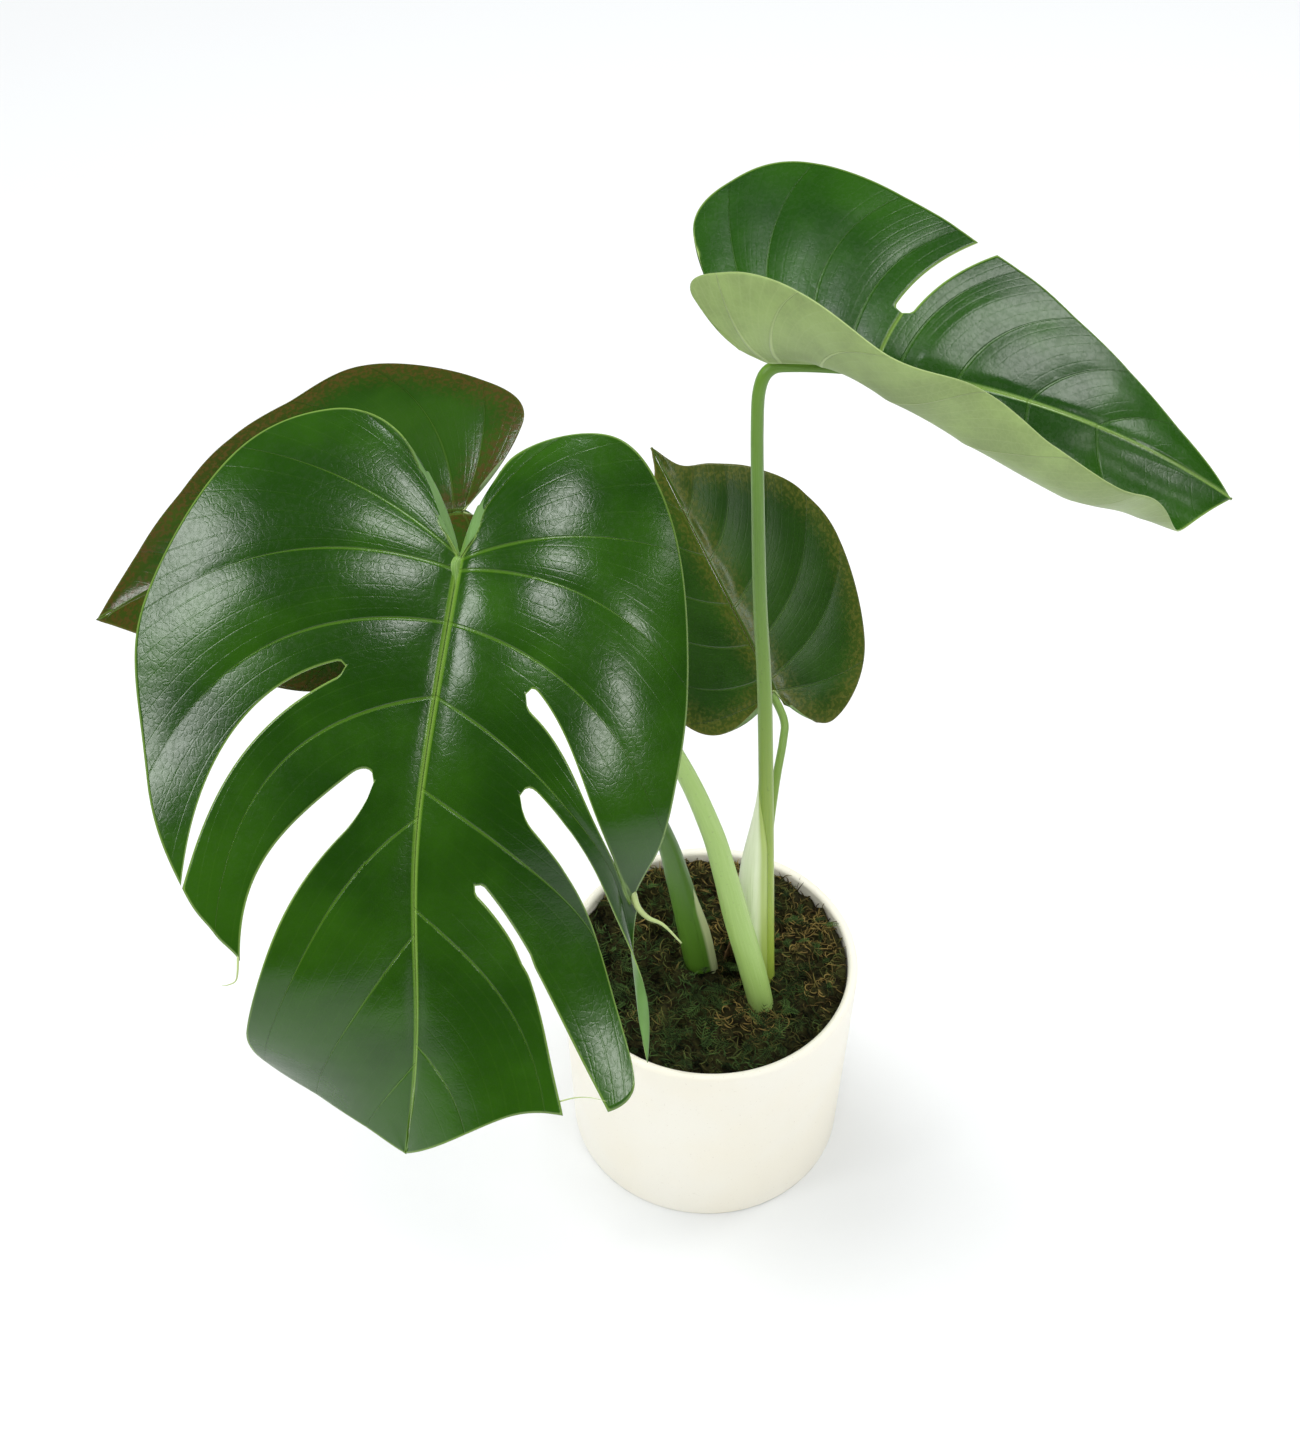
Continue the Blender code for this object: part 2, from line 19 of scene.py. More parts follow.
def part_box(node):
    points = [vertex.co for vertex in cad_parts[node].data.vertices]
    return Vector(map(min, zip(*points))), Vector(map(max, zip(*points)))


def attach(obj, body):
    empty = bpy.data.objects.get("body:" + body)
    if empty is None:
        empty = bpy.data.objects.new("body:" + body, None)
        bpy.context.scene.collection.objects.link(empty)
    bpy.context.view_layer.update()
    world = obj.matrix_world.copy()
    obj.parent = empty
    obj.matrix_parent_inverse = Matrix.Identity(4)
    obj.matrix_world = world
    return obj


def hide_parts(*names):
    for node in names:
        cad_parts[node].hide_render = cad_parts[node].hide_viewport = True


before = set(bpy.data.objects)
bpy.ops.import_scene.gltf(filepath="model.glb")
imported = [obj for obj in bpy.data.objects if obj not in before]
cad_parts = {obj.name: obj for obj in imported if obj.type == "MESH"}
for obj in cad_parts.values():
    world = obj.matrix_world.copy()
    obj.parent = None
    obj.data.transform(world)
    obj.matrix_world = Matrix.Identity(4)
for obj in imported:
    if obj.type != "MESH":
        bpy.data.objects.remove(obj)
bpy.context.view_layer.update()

bl_info = {
    "name": "Potted Monstera",
    "version": (1, 0, 0),
    "blender": (4, 5, 0),
    "location": "3D View > Sidebar > Monstera",
    "description": "Builds a young split-leaf monstera in a plain ceramic pot",
    "category": "Object",
}

MM = 0.001
BODY = "root"

# Blades: height of the long swells, half width of the valley along the midrib (mm), and
# the spacing of the side veins (mm) from which the quilting has its full height.
SWELL_HEIGHT = 0.55
VALLEY_HALF_WIDTH = 3.2
FULL_QUILT_SPACING = 22

# Petioles (mm): length of a ring, how far the petiole's end and the midrib's rings stay
# under the blade's middle, and the midrib's radius as a share of the petiole's end.
RING_LENGTH = 3.0
END_DROP = 1.5
MIDRIB_DROP = 1.9
MIDRIB_SHARE = 0.75
MIDRIB_RINGS = 9

# Sheaths and bract: a wing starts a little inside its stalk; the bract starts at an
# angle and goes round by another (degrees), and its foot is in the moss.
WING_START = 0.93
WING_THICKNESS = 0.5 * MM
BRACT_THICKNESS = 0.35 * MM

BRACT_START = -70
BRACT_TURN = 250
BRACT_INTO_MOSS = 3 * MM

THREAD_RINGS = 24
THREAD_SIDES = 6

# Pot: edge of the foot, and the sharpest bend that is still shaded smooth (degrees).
FOOT_BEVEL = 1.5 * MM
SMOOTH_BEND = 50

# Moss: the hollow between the petioles (m), how much higher the bed is at the wall, the
# band at the wall where strands stand up, and ranges for the loose strands (mm).
HOLLOW_PLACE = (0.011, 0.004)
HOLLOW_REACH = (0.009, 0.012)
HOLLOW_DEPTH = 6 * MM
WALL_RISE = 1 * MM
BRIM_WIDTH = 9 * MM
STRAND_LENGTHS = (3.5, 10)
STRAND_RADII = (0.3, 0.75)
STRAND_CURLS = (-0.9, 0.9)
STRAND_STEPS = 6
MOSS_SEED = 7

# Stage: camera and the light from overhead and from the softboxes (m, degrees).
CAMERA_PLACE = (-0.0302, -0.630, 0.9193)
CAMERA_DOWN = 44.6
SENSOR_WIDTH = 36
SKYLIGHT_AIM = (0.45, -0.25, -1)
SKYLIGHT_SPREAD = 50
SOFTBOX_TARGET = (-0.05, 0, 0.42)
SOFTBOX_DISTANCE = 1.5

# ----------------------------------------------------------------------------
# Shapes of the plant
# ----------------------------------------------------------------------------

# A rib is (reach across, reach along, bow as a share of its length) and starts at the
# station of the same number. A slit is (station, share of the rib where it starts, how
# many stations it strays from the rib, width), with stray and width at its round end,
# half way and at the margin. veins are the stations of the side veins. twists are
# (first station of a finger, degrees, share of the rib from which it turns).
Half = namedtuple("Half", "ribs slits veins twists")
Leaf = namedtuple("Leaf", "origin length heading pitch roll fold curl stations right left")
LEAVES = {
    "leaf_front": Leaf(
        origin=(-101.5, -60, 440), length=240,
        heading=(-102, -103, -91, -126), pitch=(-38, -55, -76), roll=(4, 4),
        fold=((14, 10), (14, 4)), curl=((-22, -14), (-56, -36)),
        stations=(0, 0, 0, 0, 5, 25, 37, 53, 71, 88, 104, 155, 244),
        right=Half([(10, -12, 0), (30, -42, .12), (58, -47, .22), (92, -23, .14),
                    (117, 40, .24), (103, 96, .33), (85, 128, .36), (74, 141, .34),
                    (63, 157, .24), (65, 198, .22), (56, 220, .20), (35, 233, .14),
                    (0, 244, 0)],
                   [(6, .26, (-.08, -.03, -.08), (5, 10, 1)),
                    (8, .185, (.25, .20, .25), (20, 29, 44))],
                   (1.6, 2.9, 4, 5, 7, 9.7, 10.8, 11.5), []),
        left=Half([(5, -9, 0), (14, -41, .10), (52, -55, .20), (79, -27, .12),
                   (97, 34, .24), (96, 98, .30), (86, 140, .26), (87, 167, .33),
                   (84, 187, .36), (86, 203, .28), (70, 209, .10), (39, 212, .15),
                   (0, 244, 0)],
                  [(6, .27, (-.45, 0, -.05), (9, 2.5, .5)),
                   (8, .26, (-.25, .42, .60), (14, 20, 6)),
                   (10, .25, (-.20, .07, .02), (5, 5, 17))],
                  (1.5, 3.2, 4, 5, 7, 9, 10.6, 11.4), [(6, -50, .45)])),
    "leaf_upper": Leaf(
        origin=(16.5, 10, 480), length=198,
        heading=(-2, -3, -6, -8), pitch=(2, -12, -22, -34), roll=(0, 0),
        fold=((42, 2, -34, -50, -56, -72, -60), (24, 22)),
        curl=((100, 115, 182, 180, 190, 300, 315), (-8, -16)),
        stations=(0, 0, 0, 4, 22, 40, 55, 90, 132, 198),
        right=Half([(10, -12, 0), (34, -27, .15), (46, -14, .12), (56, 8, .22),
                    (66, 36, .30), (73, 64, .30), (77, 94, .30), (74, 128, .25),
                    (46, 165, .15), (0, 198, 0)],
                   [], (.6, 1.8, 3, 4, 5.2, 6.4, 7.3, 8), []),
        left=Half([(12, -12, 0), (62, -28, .20), (88, -12, .12), (98, 16, .22),
                   (80, 60, .26), (67, 80, .15), (55, 103, .20), (36, 132, .20),
                   (17, 166, .15), (0, 198, 0)],
                  [(5, .34, (0, 0, 0), (7, 8, 9))],
                  (.6, 1.9, 3, 3.7, 4.4, 5.6, 6.5, 7.3, 8), [])),
    "leaf_back": Leaf(
        origin=(-109, 26, 393.5), length=166,
        heading=(184, 188, 194), pitch=(-4, -14, -26), roll=(16, 16),
        fold=((10, 8), (10, 8)), curl=((-20, -20), (-20, -20)),
        stations=(0, 0, 0, 4, 25, 52, 84, 122, 166),
        right=Half([(8, -8, 0), (45, -27, .15), (67, -8, .12), (84, 36, .22),
                    (71, 70, .26), (56, 98, .26), (36, 121, .22), (16, 144, .12),
                    (0, 166, 0)],
                   [], (.7, 1.9, 3, 3.9, 4.8, 5.8, 6.8), []),
        left=Half([(8, -8, 0), (38, -25, .15), (66, -4, .12), (79, 32, .22),
                   (76, 74, .26), (60, 105, .26), (38, 129, .22), (17, 150, .12),
                   (0, 166, 0)],
                  [], (.7, 2, 3.1, 4.1, 5, 5.9, 6.8), [])),
    "leaf_small": Leaf(
        origin=(30.5, 66, 250), length=132,
        heading=(135, 135), pitch=(50, 50), roll=(0, 0),
        fold=((12, 8), (12, 8)), curl=((-15, -15), (-15, -15)),
        stations=(0, 0, 0, 6, 25, 50, 80, 105, 132),
        right=Half([(1, -9, 0), (20, -29, .20), (54, -9, .12), (72, 44, .22),
                    (65, 76, .22), (46, 98, .22), (25, 111, .22), (9, 118, .12),
                    (0, 132, 0)],
                   [], (.7, 1.9, 3, 3.9, 4.8, 5.7, 6.6), []),
        left=Half([(8, 0, 0), (42, -1, .15), (60, 14, .12), (66, 44, .22),
                   (58, 76, .22), (42, 98, .22), (22, 112, .22), (8, 119, .12),
                   (0, 132, 0)],
                  [], (.7, 2, 3.1, 4, 4.9, 5.8, 6.7), [])),
}

# route: points from the stem to just under the leaf; radii: at those points
Petiole = namedtuple("Petiole", "leaf route radii groove")
PETIOLES = {
    "petiole_upper": Petiole(
        "leaf_upper",
        [(29, -9, 107), (28.2, -9, 125), (27, -9, 152), (24.6, -8, 217),
         (20.2, -5, 311), (16, -1, 367), (13.4, 3, 417), (12, 6, 450), (12.4, 8.2, 468)],
        [4.3, 4.2, 4.1, 3.6, 3.3, 3.0, 2.7, 2.6, 2.6], 0.10),
    "petiole_front": Petiole(
        "leaf_front",
        [(26, -25, 107), (24.9, -25, 122), (18.6, -25, 154), (11.2, -25, 187),
         (4.4, -26, 221), (-2.8, -27, 253), (-18, -30, 300), (-48, -37, 370),
         (-78, -46, 415)],
        [5.8, 6.2, 6.5, 6.3, 5.6, 5.0, 4.2, 3.4, 3.0], 0.06),
    "petiole_back": Petiole(
        "leaf_back",
        [(-3.2, 2, 107), (-5.2, 2, 120), (-9.4, 2, 147), (-16.4, 3, 183), (-25, 5, 217),
         (-53, 12, 288), (-85, 20, 355), (-101, 24, 380)],
        [7.0, 7.4, 7.2, 6.0, 4.6, 3.4, 2.8, 2.6], 0.10),
    "petiole_small": Petiole(
        "leaf_small",
        [(28.6, 1, 107), (28.5, 3, 127), (27.6, 6, 156), (27.4, 13, 178),
         (28.2, 24, 195), (31.3, 38, 216), (34.6, 50, 231), (35, 58, 238)],
        [2.4, 2.4, 2.3, 2.3, 2.2, 2.1, 2.0, 2.0], 0.08),
}

# route and radius of the dry threads left where the fingers parted
THREADS = {
    "finger_hair": ([(-184, -165, 335), (-184, -170, 331), (-185, -172, 328),
                     (-188, -173, 327), (-190, -173, 327)], 0.5),
    "finger_wisp": ([(-37, -131, 331), (-35, -135, 327), (-31, -138, 324),
                     (-25, -140, 322), (-18, -145, 317)], 1.6),
    "tip_thread": ([(-65, -189, 275), (-59, -188, 276), (-53, -188, 276),
                    (-47, -189, 275)], 0.35),
}

# name, degrees round from +Y towards +X, degrees up, side (m), radiance, tint
SOFTBOXES = (
    ("front_softbox", 173, 62, 0.32, 16.0, (1.0, 1.0, 1.0)),
    ("left_window", -120, 38, 0.40, 13.0, (0.99, 1.0, 1.0)),
    ("right_window", 140, 27, 0.30, 14.0, (1.0, 1.0, 0.98)),
    ("right_strip", 108, 34, 0.20, 7.0, (1.0, 1.0, 0.96)),
    ("back_softbox", 68, 47, 0.50, 8.0, (1.0, 1.0, 0.98)),
    ("top_softbox", 41, 79, 0.22, 20.0, (0.96, 0.98, 1.0)),
)

# ----------------------------------------------------------------------------
# Settings
# ----------------------------------------------------------------------------


def colour_setting(name, description, default):
    return FloatVectorProperty(name=name, description=description, subtype="COLOR",
                               size=3, min=0, max=1, default=default)


def length_setting(name, description, default):
    return FloatProperty(name=name, description=description, unit="LENGTH",
                         min=0, default=default)


class MonsteraLeafSettings(bpy.types.PropertyGroup):
    cell: length_setting("Mesh Cell", "Largest side of a blade's mesh cells", 1.75 * MM)
    thickness: length_setting("Blade Thickness", "Thickness of every blade", 0.5 * MM)
    quilting: length_setting("Quilting", "How far the blade rises between side veins",
                             0.7 * MM)
    midrib_depth: length_setting("Midrib Depth", "Depth of the valley along the midrib",
                                 1.0 * MM)
    deep: colour_setting("Deep Green", "Darkest green of the front leaf",
                         (0.009, 0.041, 0.0015))
    bright: colour_setting("Bright Green", "Lightest green of the front leaf",
                           (0.024, 0.088, 0.003))
    vein: colour_setting("Vein", "Colour of the midrib and side veins",
                         (0.095, 0.205, 0.016))
    margin: colour_setting("Margin", "Colour of the thin line along the margin",
                           (0.24, 0.38, 0.08))
    underside: colour_setting("Underside", "Colour of the underside of the new leaf",
                              (0.27, 0.38, 0.11))


class MonsteraPetioleSettings(bpy.types.PropertyGroup):
    sides: IntProperty(name="Sides", description="Faces around a petiole", min=8,
                       default=24)
    pale: colour_setting("Pale Green", "Colour of the front petiole at its foot",
                         (0.34, 0.52, 0.13))
    deep: colour_setting("Deep Green", "Colour of the back petiole",
                         (0.045, 0.125, 0.012))
    sheath: colour_setting("Sheath", "Colour of the pale sheath wings",
                           (0.88, 0.94, 0.70))
    dry: colour_setting("Dry Bract", "Colour of the dry bract", (0.16, 0.09, 0.04))


class MonsteraPotSettings(bpy.types.PropertyGroup):
    segments: IntProperty(name="Segments", description="Steps of the turned pot",
                          min=32, default=160)
    wall: length_setting("Wall", "Thickness of the pot's wall", 5 * MM)
    floor: length_setting("Floor", "Thickness of the pot's floor", 6 * MM)
    ceramic: colour_setting("Ceramic", "Colour of the pot", (0.94, 0.905, 0.80))
    speckle: colour_setting("Speckle", "Colour of the faint specks in the pot",
                            (0.60, 0.52, 0.42))


class MonsteraMossSettings(bpy.types.PropertyGroup):
    strands: IntProperty(name="Strands", description="Number of curled moss strands",
                         min=0, default=5200)
    fronds: IntProperty(name="Fronds", description="Number of small feathered fronds",
                        min=0, default=190)
    lump: length_setting("Lump Height", "Height of the moss bed's lumps", 9 * MM)
    brown: colour_setting("Brown", "Dry moss", (0.150, 0.105, 0.032))
    olive: colour_setting("Olive", "Common moss colour", (0.095, 0.100, 0.026))
    green: colour_setting("Green", "Fresh moss", (0.038, 0.072, 0.018))


class MonsteraStageSettings(bpy.types.PropertyGroup):
    floor: colour_setting("Floor", "Colour of the plain floor", (0.77, 0.78, 0.785))
    daylight: FloatProperty(name="Daylight", description="Strength of the even light",
                            min=0, default=0.5)
    skylight: FloatProperty(name="Skylight", description="Strength of the light overhead",
                            min=0, default=2.0)
    softboxes: FloatProperty(name="Softboxes", description="Strength of the softboxes",
                             min=0, default=1.0)
    lens: FloatProperty(name="Lens", description="Focal length in millimetres",
                        min=1, default=50)


SETTINGS = {
    "monstera_leaf": MonsteraLeafSettings,
    "monstera_petiole": MonsteraPetioleSettings,
    "monstera_pot": MonsteraPotSettings,
    "monstera_moss": MonsteraMossSettings,
    "monstera_stage": MonsteraStageSettings,
}

# ----------------------------------------------------------------------------
# Mesh helpers
# ----------------------------------------------------------------------------


def smooth_spline(values, where):
    """Smooth curve through the values, which sit at 0, 1, 2 ...; where is an array."""
    values = np.asarray(values, float)
    where = np.asarray(where, float)
    last = len(values) - 1
    slopes = np.gradient(values, axis=0)
    index = np.clip(np.floor(where).astype(int), 0, last - 1)
    part = where - index
    if values.ndim > 1:
        part = part[..., None]
    start = (1 + 2 * part) * (1 - part) ** 2
    start_slope = part * (1 - part) ** 2
    end = part ** 2 * (3 - 2 * part)
    end_slope = part ** 2 * (part - 1)
    return (start * values[index] + start_slope * slopes[index]
            + end * values[index + 1] + end_slope * slopes[index + 1])


def ease(low, high, value):
    """0 below low, 1 above high, smooth between."""
    part = np.clip((np.asarray(value, float) - low) / (high - low), 0, 1)
    return part * part * (3 - 2 * part)


def unit(vectors):
    return vectors / np.maximum(np.linalg.norm(vectors, axis=-1, keepdims=True), 1e-12)


def grid_patch(bm, rows, columns):
    """Grid of faces: its verts, and the row and column number of each."""
    verts = bmesh.ops.create_grid(bm, x_segments=rows, y_segments=columns, size=1)["verts"]
    across = np.array([vert.co.x for vert in verts])
    along = np.array([vert.co.y for vert in verts])
    return (verts, np.rint((across + 1) / 2 * rows).astype(int),
            np.rint((along + 1) / 2 * columns).astype(int))


def place(verts, places):
    for vert, spot in zip(verts, places):
        vert.co = spot


def write_uv(bm, layer_name, verts, pairs):
    """Gives each corner at these verts the verts' pair of numbers."""
    layer = bm.loops.layers.uv.get(layer_name) or bm.loops.layers.uv.new(layer_name)
    for vert, pair in zip(verts, pairs):
        for loop in vert.link_loops:
            loop[layer].uv = pair


def add_object(name, data):
    made = bpy.data.objects.new(name, data)
    bpy.context.scene.collection.objects.link(made)
    return made


def thicken(piece, thickness, offset=0.0):
    shell = piece.modifiers.new("thickness", "SOLIDIFY")
    shell.thickness = thickness
    shell.offset = offset
    return shell


def finish_mesh(name, bm, materials, slot, merge=0.01 * MM):
    """Object at the origin from a bmesh, riding on the plant's only body."""
    if merge:
        bmesh.ops.remove_doubles(bm, verts=bm.verts, dist=merge)
    mesh = bpy.data.meshes.new(name)
    bm.to_mesh(mesh)
    bm.free()
    mesh.shade_smooth()
    for material in materials:
        mesh.materials.append(material)
    piece = add_object(name, mesh)
    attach(piece, BODY)
    return piece


def course_frames(points):
    """Directions along and around a course of points, turned as little as possible."""
    along = unit(np.gradient(points, axis=0))
    side = np.zeros_like(points)
    reference = np.array([0.0, -1.0, 0.0])
    for index, direction in enumerate(along):
        reference = reference - direction * reference.dot(direction)
        reference = reference / np.linalg.norm(reference)
        side[index] = reference
    return along, side, np.cross(along, side)


def wrap_tube(bm, points, radii, sides, outline=None):
    """Closed tube round the points. outline(angle) scales its radius."""
    count = len(points) - 1
    verts, turn, step = grid_patch(bm, sides, count)
    _, side, other = course_frames(points)
    angle = turn / sides * 2 * math.pi
    radius = radii[step] * (outline(angle) if outline else 1)
    place(verts, points[step] + radius[:, None] * (
        np.cos(angle)[:, None] * side[step] + np.sin(angle)[:, None] * other[step]))
    lengths = np.concatenate([[0], np.cumsum(np.linalg.norm(np.diff(points, axis=0),
                                                             axis=1))])
    write_uv(bm, "wrap", verts, np.stack([turn / sides, lengths[step]], -1))
    bmesh.ops.remove_doubles(bm, verts=verts, dist=0.005 * MM)
    rims = [edge for edge in bm.edges if edge.is_boundary]
    bmesh.ops.holes_fill(bm, edges=rims, sides=0)
    bmesh.ops.recalc_face_normals(bm, faces=bm.faces)


# ----------------------------------------------------------------------------
# Material helpers
# ----------------------------------------------------------------------------


def scaled(colour, factor):
    return tuple(min(1, part * factor) for part in colour)


def add_node(tree, kind, inputs=None, **settings):
    """Adds a node; inputs holds sockets to link or plain values, by name or number."""
    made = tree.nodes.new(kind)
    for name, value in settings.items():
        setattr(made, name, value)
    for name, value in (inputs or {}).items():
        socket = made.inputs[name]
        if isinstance(value, bpy.types.NodeSocket):
            tree.links.new(value, socket)
        else:
            socket.default_value = value
    return made


def calculate(tree, operation, *values, clamp=False):
    return add_node(tree, "ShaderNodeMath", dict(enumerate(values)),
                    operation=operation, use_clamp=clamp).outputs[0]


def fade(tree, value, low, high, start=1.0, end=0.0):
    """start where the value is below low, end above high, smooth between."""
    return add_node(tree, "ShaderNodeMapRange",
                    {"Value": value, "From Min": low, "From Max": high,
                     "To Min": start, "To Max": end},
                    interpolation_type="SMOOTHSTEP").outputs["Result"]


def blend_colours(tree, factor, first, second, mode="MIX"):
    mixer = add_node(tree, "ShaderNodeMix", data_type="RGBA", blend_type=mode,
                     clamp_factor=True)
    for socket, value in zip((mixer.inputs[0], mixer.inputs[6], mixer.inputs[7]),
                             (factor, first, second)):
        if isinstance(value, bpy.types.NodeSocket):
            tree.links.new(value, socket)
        else:
            socket.default_value = value if isinstance(value, float) else (*value[:3], 1)
    return mixer.outputs[2]


def uv_parts(tree, layer):
    """The two numbers of a UV layer."""
    source = add_node(tree, "ShaderNodeUVMap", uv_map=layer)
    split = add_node(tree, "ShaderNodeSeparateXYZ", {0: source.outputs[0]})
    return split.outputs[0], split.outputs[1]


def stretched_wrap(tree, around, along):
    """Turn and run of a wrapped piece, and both as a place for streaks along it."""
    turn, run = uv_parts(tree, "wrap")
    lane = add_node(tree, "ShaderNodeCombineXYZ",
                    {0: calculate(tree, "MULTIPLY", turn, around),
                     1: calculate(tree, "MULTIPLY", run, along), 2: 0.0})
    return turn, run, lane.outputs[0]


def tint_by_masks(tree, base, masks, layers):
    """Lays (mask, strength, colour) layers over the base colour."""
    for mask, strength, colour in layers:
        factor = calculate(tree, "MULTIPLY", masks[mask], strength)
        base = blend_colours(tree, factor, base, colour)
    return base


def noise_field(tree, vector, scale, detail=3.0, roughness=0.5):
    return add_node(tree, "ShaderNodeTexNoise",
                    {"Vector": vector, "Scale": scale, "Detail": detail,
                     "Roughness": roughness}).outputs[0]


def object_place(tree, scale=(1, 1, 1)):
    source = add_node(tree, "ShaderNodeTexCoord")
    return add_node(tree, "ShaderNodeMapping",
                    {"Vector": source.outputs["Object"], "Scale": scale}).outputs[0]


def new_material(name, roughness=0.5, coat=0.0, coat_roughness=0.1, sheen=0.0,
                 specular=0.5):
    material = bpy.data.materials.new(name)
    material.use_nodes = True
    shader = material.node_tree.nodes["Principled BSDF"]
    shader.inputs["Roughness"].default_value = roughness
    shader.inputs["Coat Weight"].default_value = coat
    shader.inputs["Coat Roughness"].default_value = coat_roughness
    shader.inputs["Sheen Weight"].default_value = sheen
    shader.inputs["Specular IOR Level"].default_value = specular
    return material, material.node_tree, shader


def bump(tree, shader, height, distance, strength=1.0):
    made = add_node(tree, "ShaderNodeBump",
                    {"Height": height, "Distance": distance, "Strength": strength})
    tree.links.new(made.outputs[0], shader.inputs["Normal"])


def use_group(tree, group, inputs=None):
    return add_node(tree, "ShaderNodeGroup", inputs, node_tree=group).outputs


def new_group(name, inputs, outputs):
    group = bpy.data.node_groups.new(name, "ShaderNodeTree")
    for label, default in inputs.items():
        socket = group.interface.new_socket(label, in_out="INPUT",
                                            socket_type="NodeSocketFloat")
        socket.default_value = default
    for label in outputs:
        group.interface.new_socket(label, in_out="OUTPUT", socket_type="NodeSocketFloat")
    entry = group.nodes.new("NodeGroupInput")
    leave = group.nodes.new("NodeGroupOutput")
    return group, entry.outputs, leave.inputs


def vein_group():
    """Masks and relief of a leaf's midrib, side veins, fine veins and margin."""
    found = bpy.data.node_groups.get("leaf_veins")
    if found:
        return found
    group, given, result = new_group(
        "leaf_veins", {"Midrib Width": 0.0015, "Vein Width": 0.0006},
        ("Midrib", "Vein", "Fine", "Margin", "Net", "Height"))
    share, phase = uv_parts(group, "ribs")
    across, along = uv_parts(group, "flat")
    spacing, margin = uv_parts(group, "relief")

    beside = calculate(group, "ABSOLUTE", across)
    taper = fade(group, along, 0.0, 0.24, 1.0, 0.45)
    midrib_edge = calculate(group, "MULTIPLY", given["Midrib Width"], taper)
    midrib = calculate(group, "DIVIDE", beside, midrib_edge)
    midrib_mask = fade(group, midrib, 0.75, 1.35)

    def nearest(scale, width_scale):
        scaled = calculate(group, "MULTIPLY", phase, scale)
        off = calculate(group, "PINGPONG", scaled, 0.5)
        gap = calculate(group, "MULTIPLY", off, calculate(group, "DIVIDE", spacing, scale))
        width = calculate(group, "MULTIPLY", given["Vein Width"], width_scale)
        return calculate(group, "DIVIDE", gap, width)

    thin = fade(group, share, 0.0, 1.0, 1.0, 0.35)
    lateral = calculate(group, "DIVIDE", nearest(1.0, 1.0), thin)
    lateral_mask = fade(group, lateral, 0.6, 1.6)
    fine = fade(group, nearest(6.0, 0.5), 0.4, 1.6)
    fine = calculate(group, "MULTIPLY", fine, fade(group, share, 0.02, 0.3, 0.2, 1.0))
    pale = calculate(group, "MULTIPLY", lateral_mask, fade(group, share, 0.25, 0.95, 1.0, 0.2))

    flat = add_node(group, "ShaderNodeCombineXYZ", {0: across, 1: along, 2: 0.0})
    net = add_node(group, "ShaderNodeTexVoronoi",
                   {"Vector": flat.outputs[0], "Scale": 420.0},
                   feature="DISTANCE_TO_EDGE").outputs["Distance"]
    net_mask = fade(group, net, 0.02, 0.16)

    wrinkle = add_node(group, "ShaderNodeMapping", {"Vector": flat.outputs[0],
                                                    "Scale": (55, 90, 1)})
    wrinkle = noise_field(group, wrinkle.outputs[0], 1.0, 2.0, 0.5)
    dip = calculate(group, "MULTIPLY", lateral_mask, -0.5)
    dip = calculate(group, "MULTIPLY_ADD", fine, -0.05, dip)
    dip = calculate(group, "MULTIPLY_ADD", net_mask, -0.03, dip)
    dip = calculate(group, "MULTIPLY_ADD", wrinkle, 0.45, dip)
    for label, value in (("Midrib", midrib_mask), ("Vein", pale), ("Fine", fine),
                         ("Margin", fade(group, margin, 0.0003, 0.0011)),
                         ("Net", net_mask), ("Height", dip)):
        group.links.new(value, result[label])
    return group


def mottle_group():
    """A broad and a speckled pattern of light and dark, other on each leaf."""
    found = bpy.data.node_groups.get("leaf_mottle")
    if found:
        return found
    group, given, result = new_group("leaf_mottle", {"Size": 28.0}, ("Broad", "Speckle"))
    spot = object_place(group)
    broad = noise_field(group, spot, given["Size"], 4.0, 0.55)
    speckle = noise_field(group, spot, calculate(group, "MULTIPLY", given["Size"], 34.0), 2.0)
    group.links.new(fade(group, broad, 0.35, 0.68, 0.0, 1.0), result["Broad"])
    group.links.new(fade(group, speckle, 0.45, 0.62, 0.0, 1.0), result["Speckle"])
    return group


def leaf_top_material(name, deep, bright, vein, margin, vein_strength=0.4,
                      roughness=0.21, edge=None, edge_width=0.0):
    """Waxy upper face; edge adds a second colour that is stippled in from the margin."""
    material, tree, shader = new_material(name, roughness, specular=0.42)
    veins = use_group(tree, vein_group())
    mottle = use_group(tree, mottle_group(), {"Size": 16.0})
    _, along = uv_parts(tree, "flat")
    # lighter green in broad random patches and further along the blade, towards its tip
    young = calculate(tree, "MULTIPLY_ADD", mottle["Broad"], 0.75,
                      fade(tree, along, 0.13, 0.25, 0.0, 0.7), clamp=True)
    colour = blend_colours(tree, young, deep, bright)
    if edge:
        _, inward = uv_parts(tree, "relief")
        near = fade(tree, inward, 0.0, edge_width, 1.0, 0.0)
        stipple = calculate(tree, "MULTIPLY_ADD", mottle["Speckle"], 0.75,
                            calculate(tree, "MULTIPLY", near, 0.5))
        stipple = calculate(tree, "MULTIPLY", stipple, near, clamp=True)
        colour = blend_colours(tree, stipple, colour, edge)
    colour = tint_by_masks(tree, colour, veins, (
        ("Fine", 0.03, vein), ("Vein", vein_strength, vein), ("Midrib", 0.85, vein),
        ("Margin", 0.55, margin)))
    tree.links.new(colour, shader.inputs["Base Color"])
    grain = calculate(tree, "MULTIPLY_ADD", mottle["Speckle"], 0.05, roughness)
    tree.links.new(grain, shader.inputs["Roughness"])
    bump(tree, shader, veins["Height"], 0.0005)
    return material


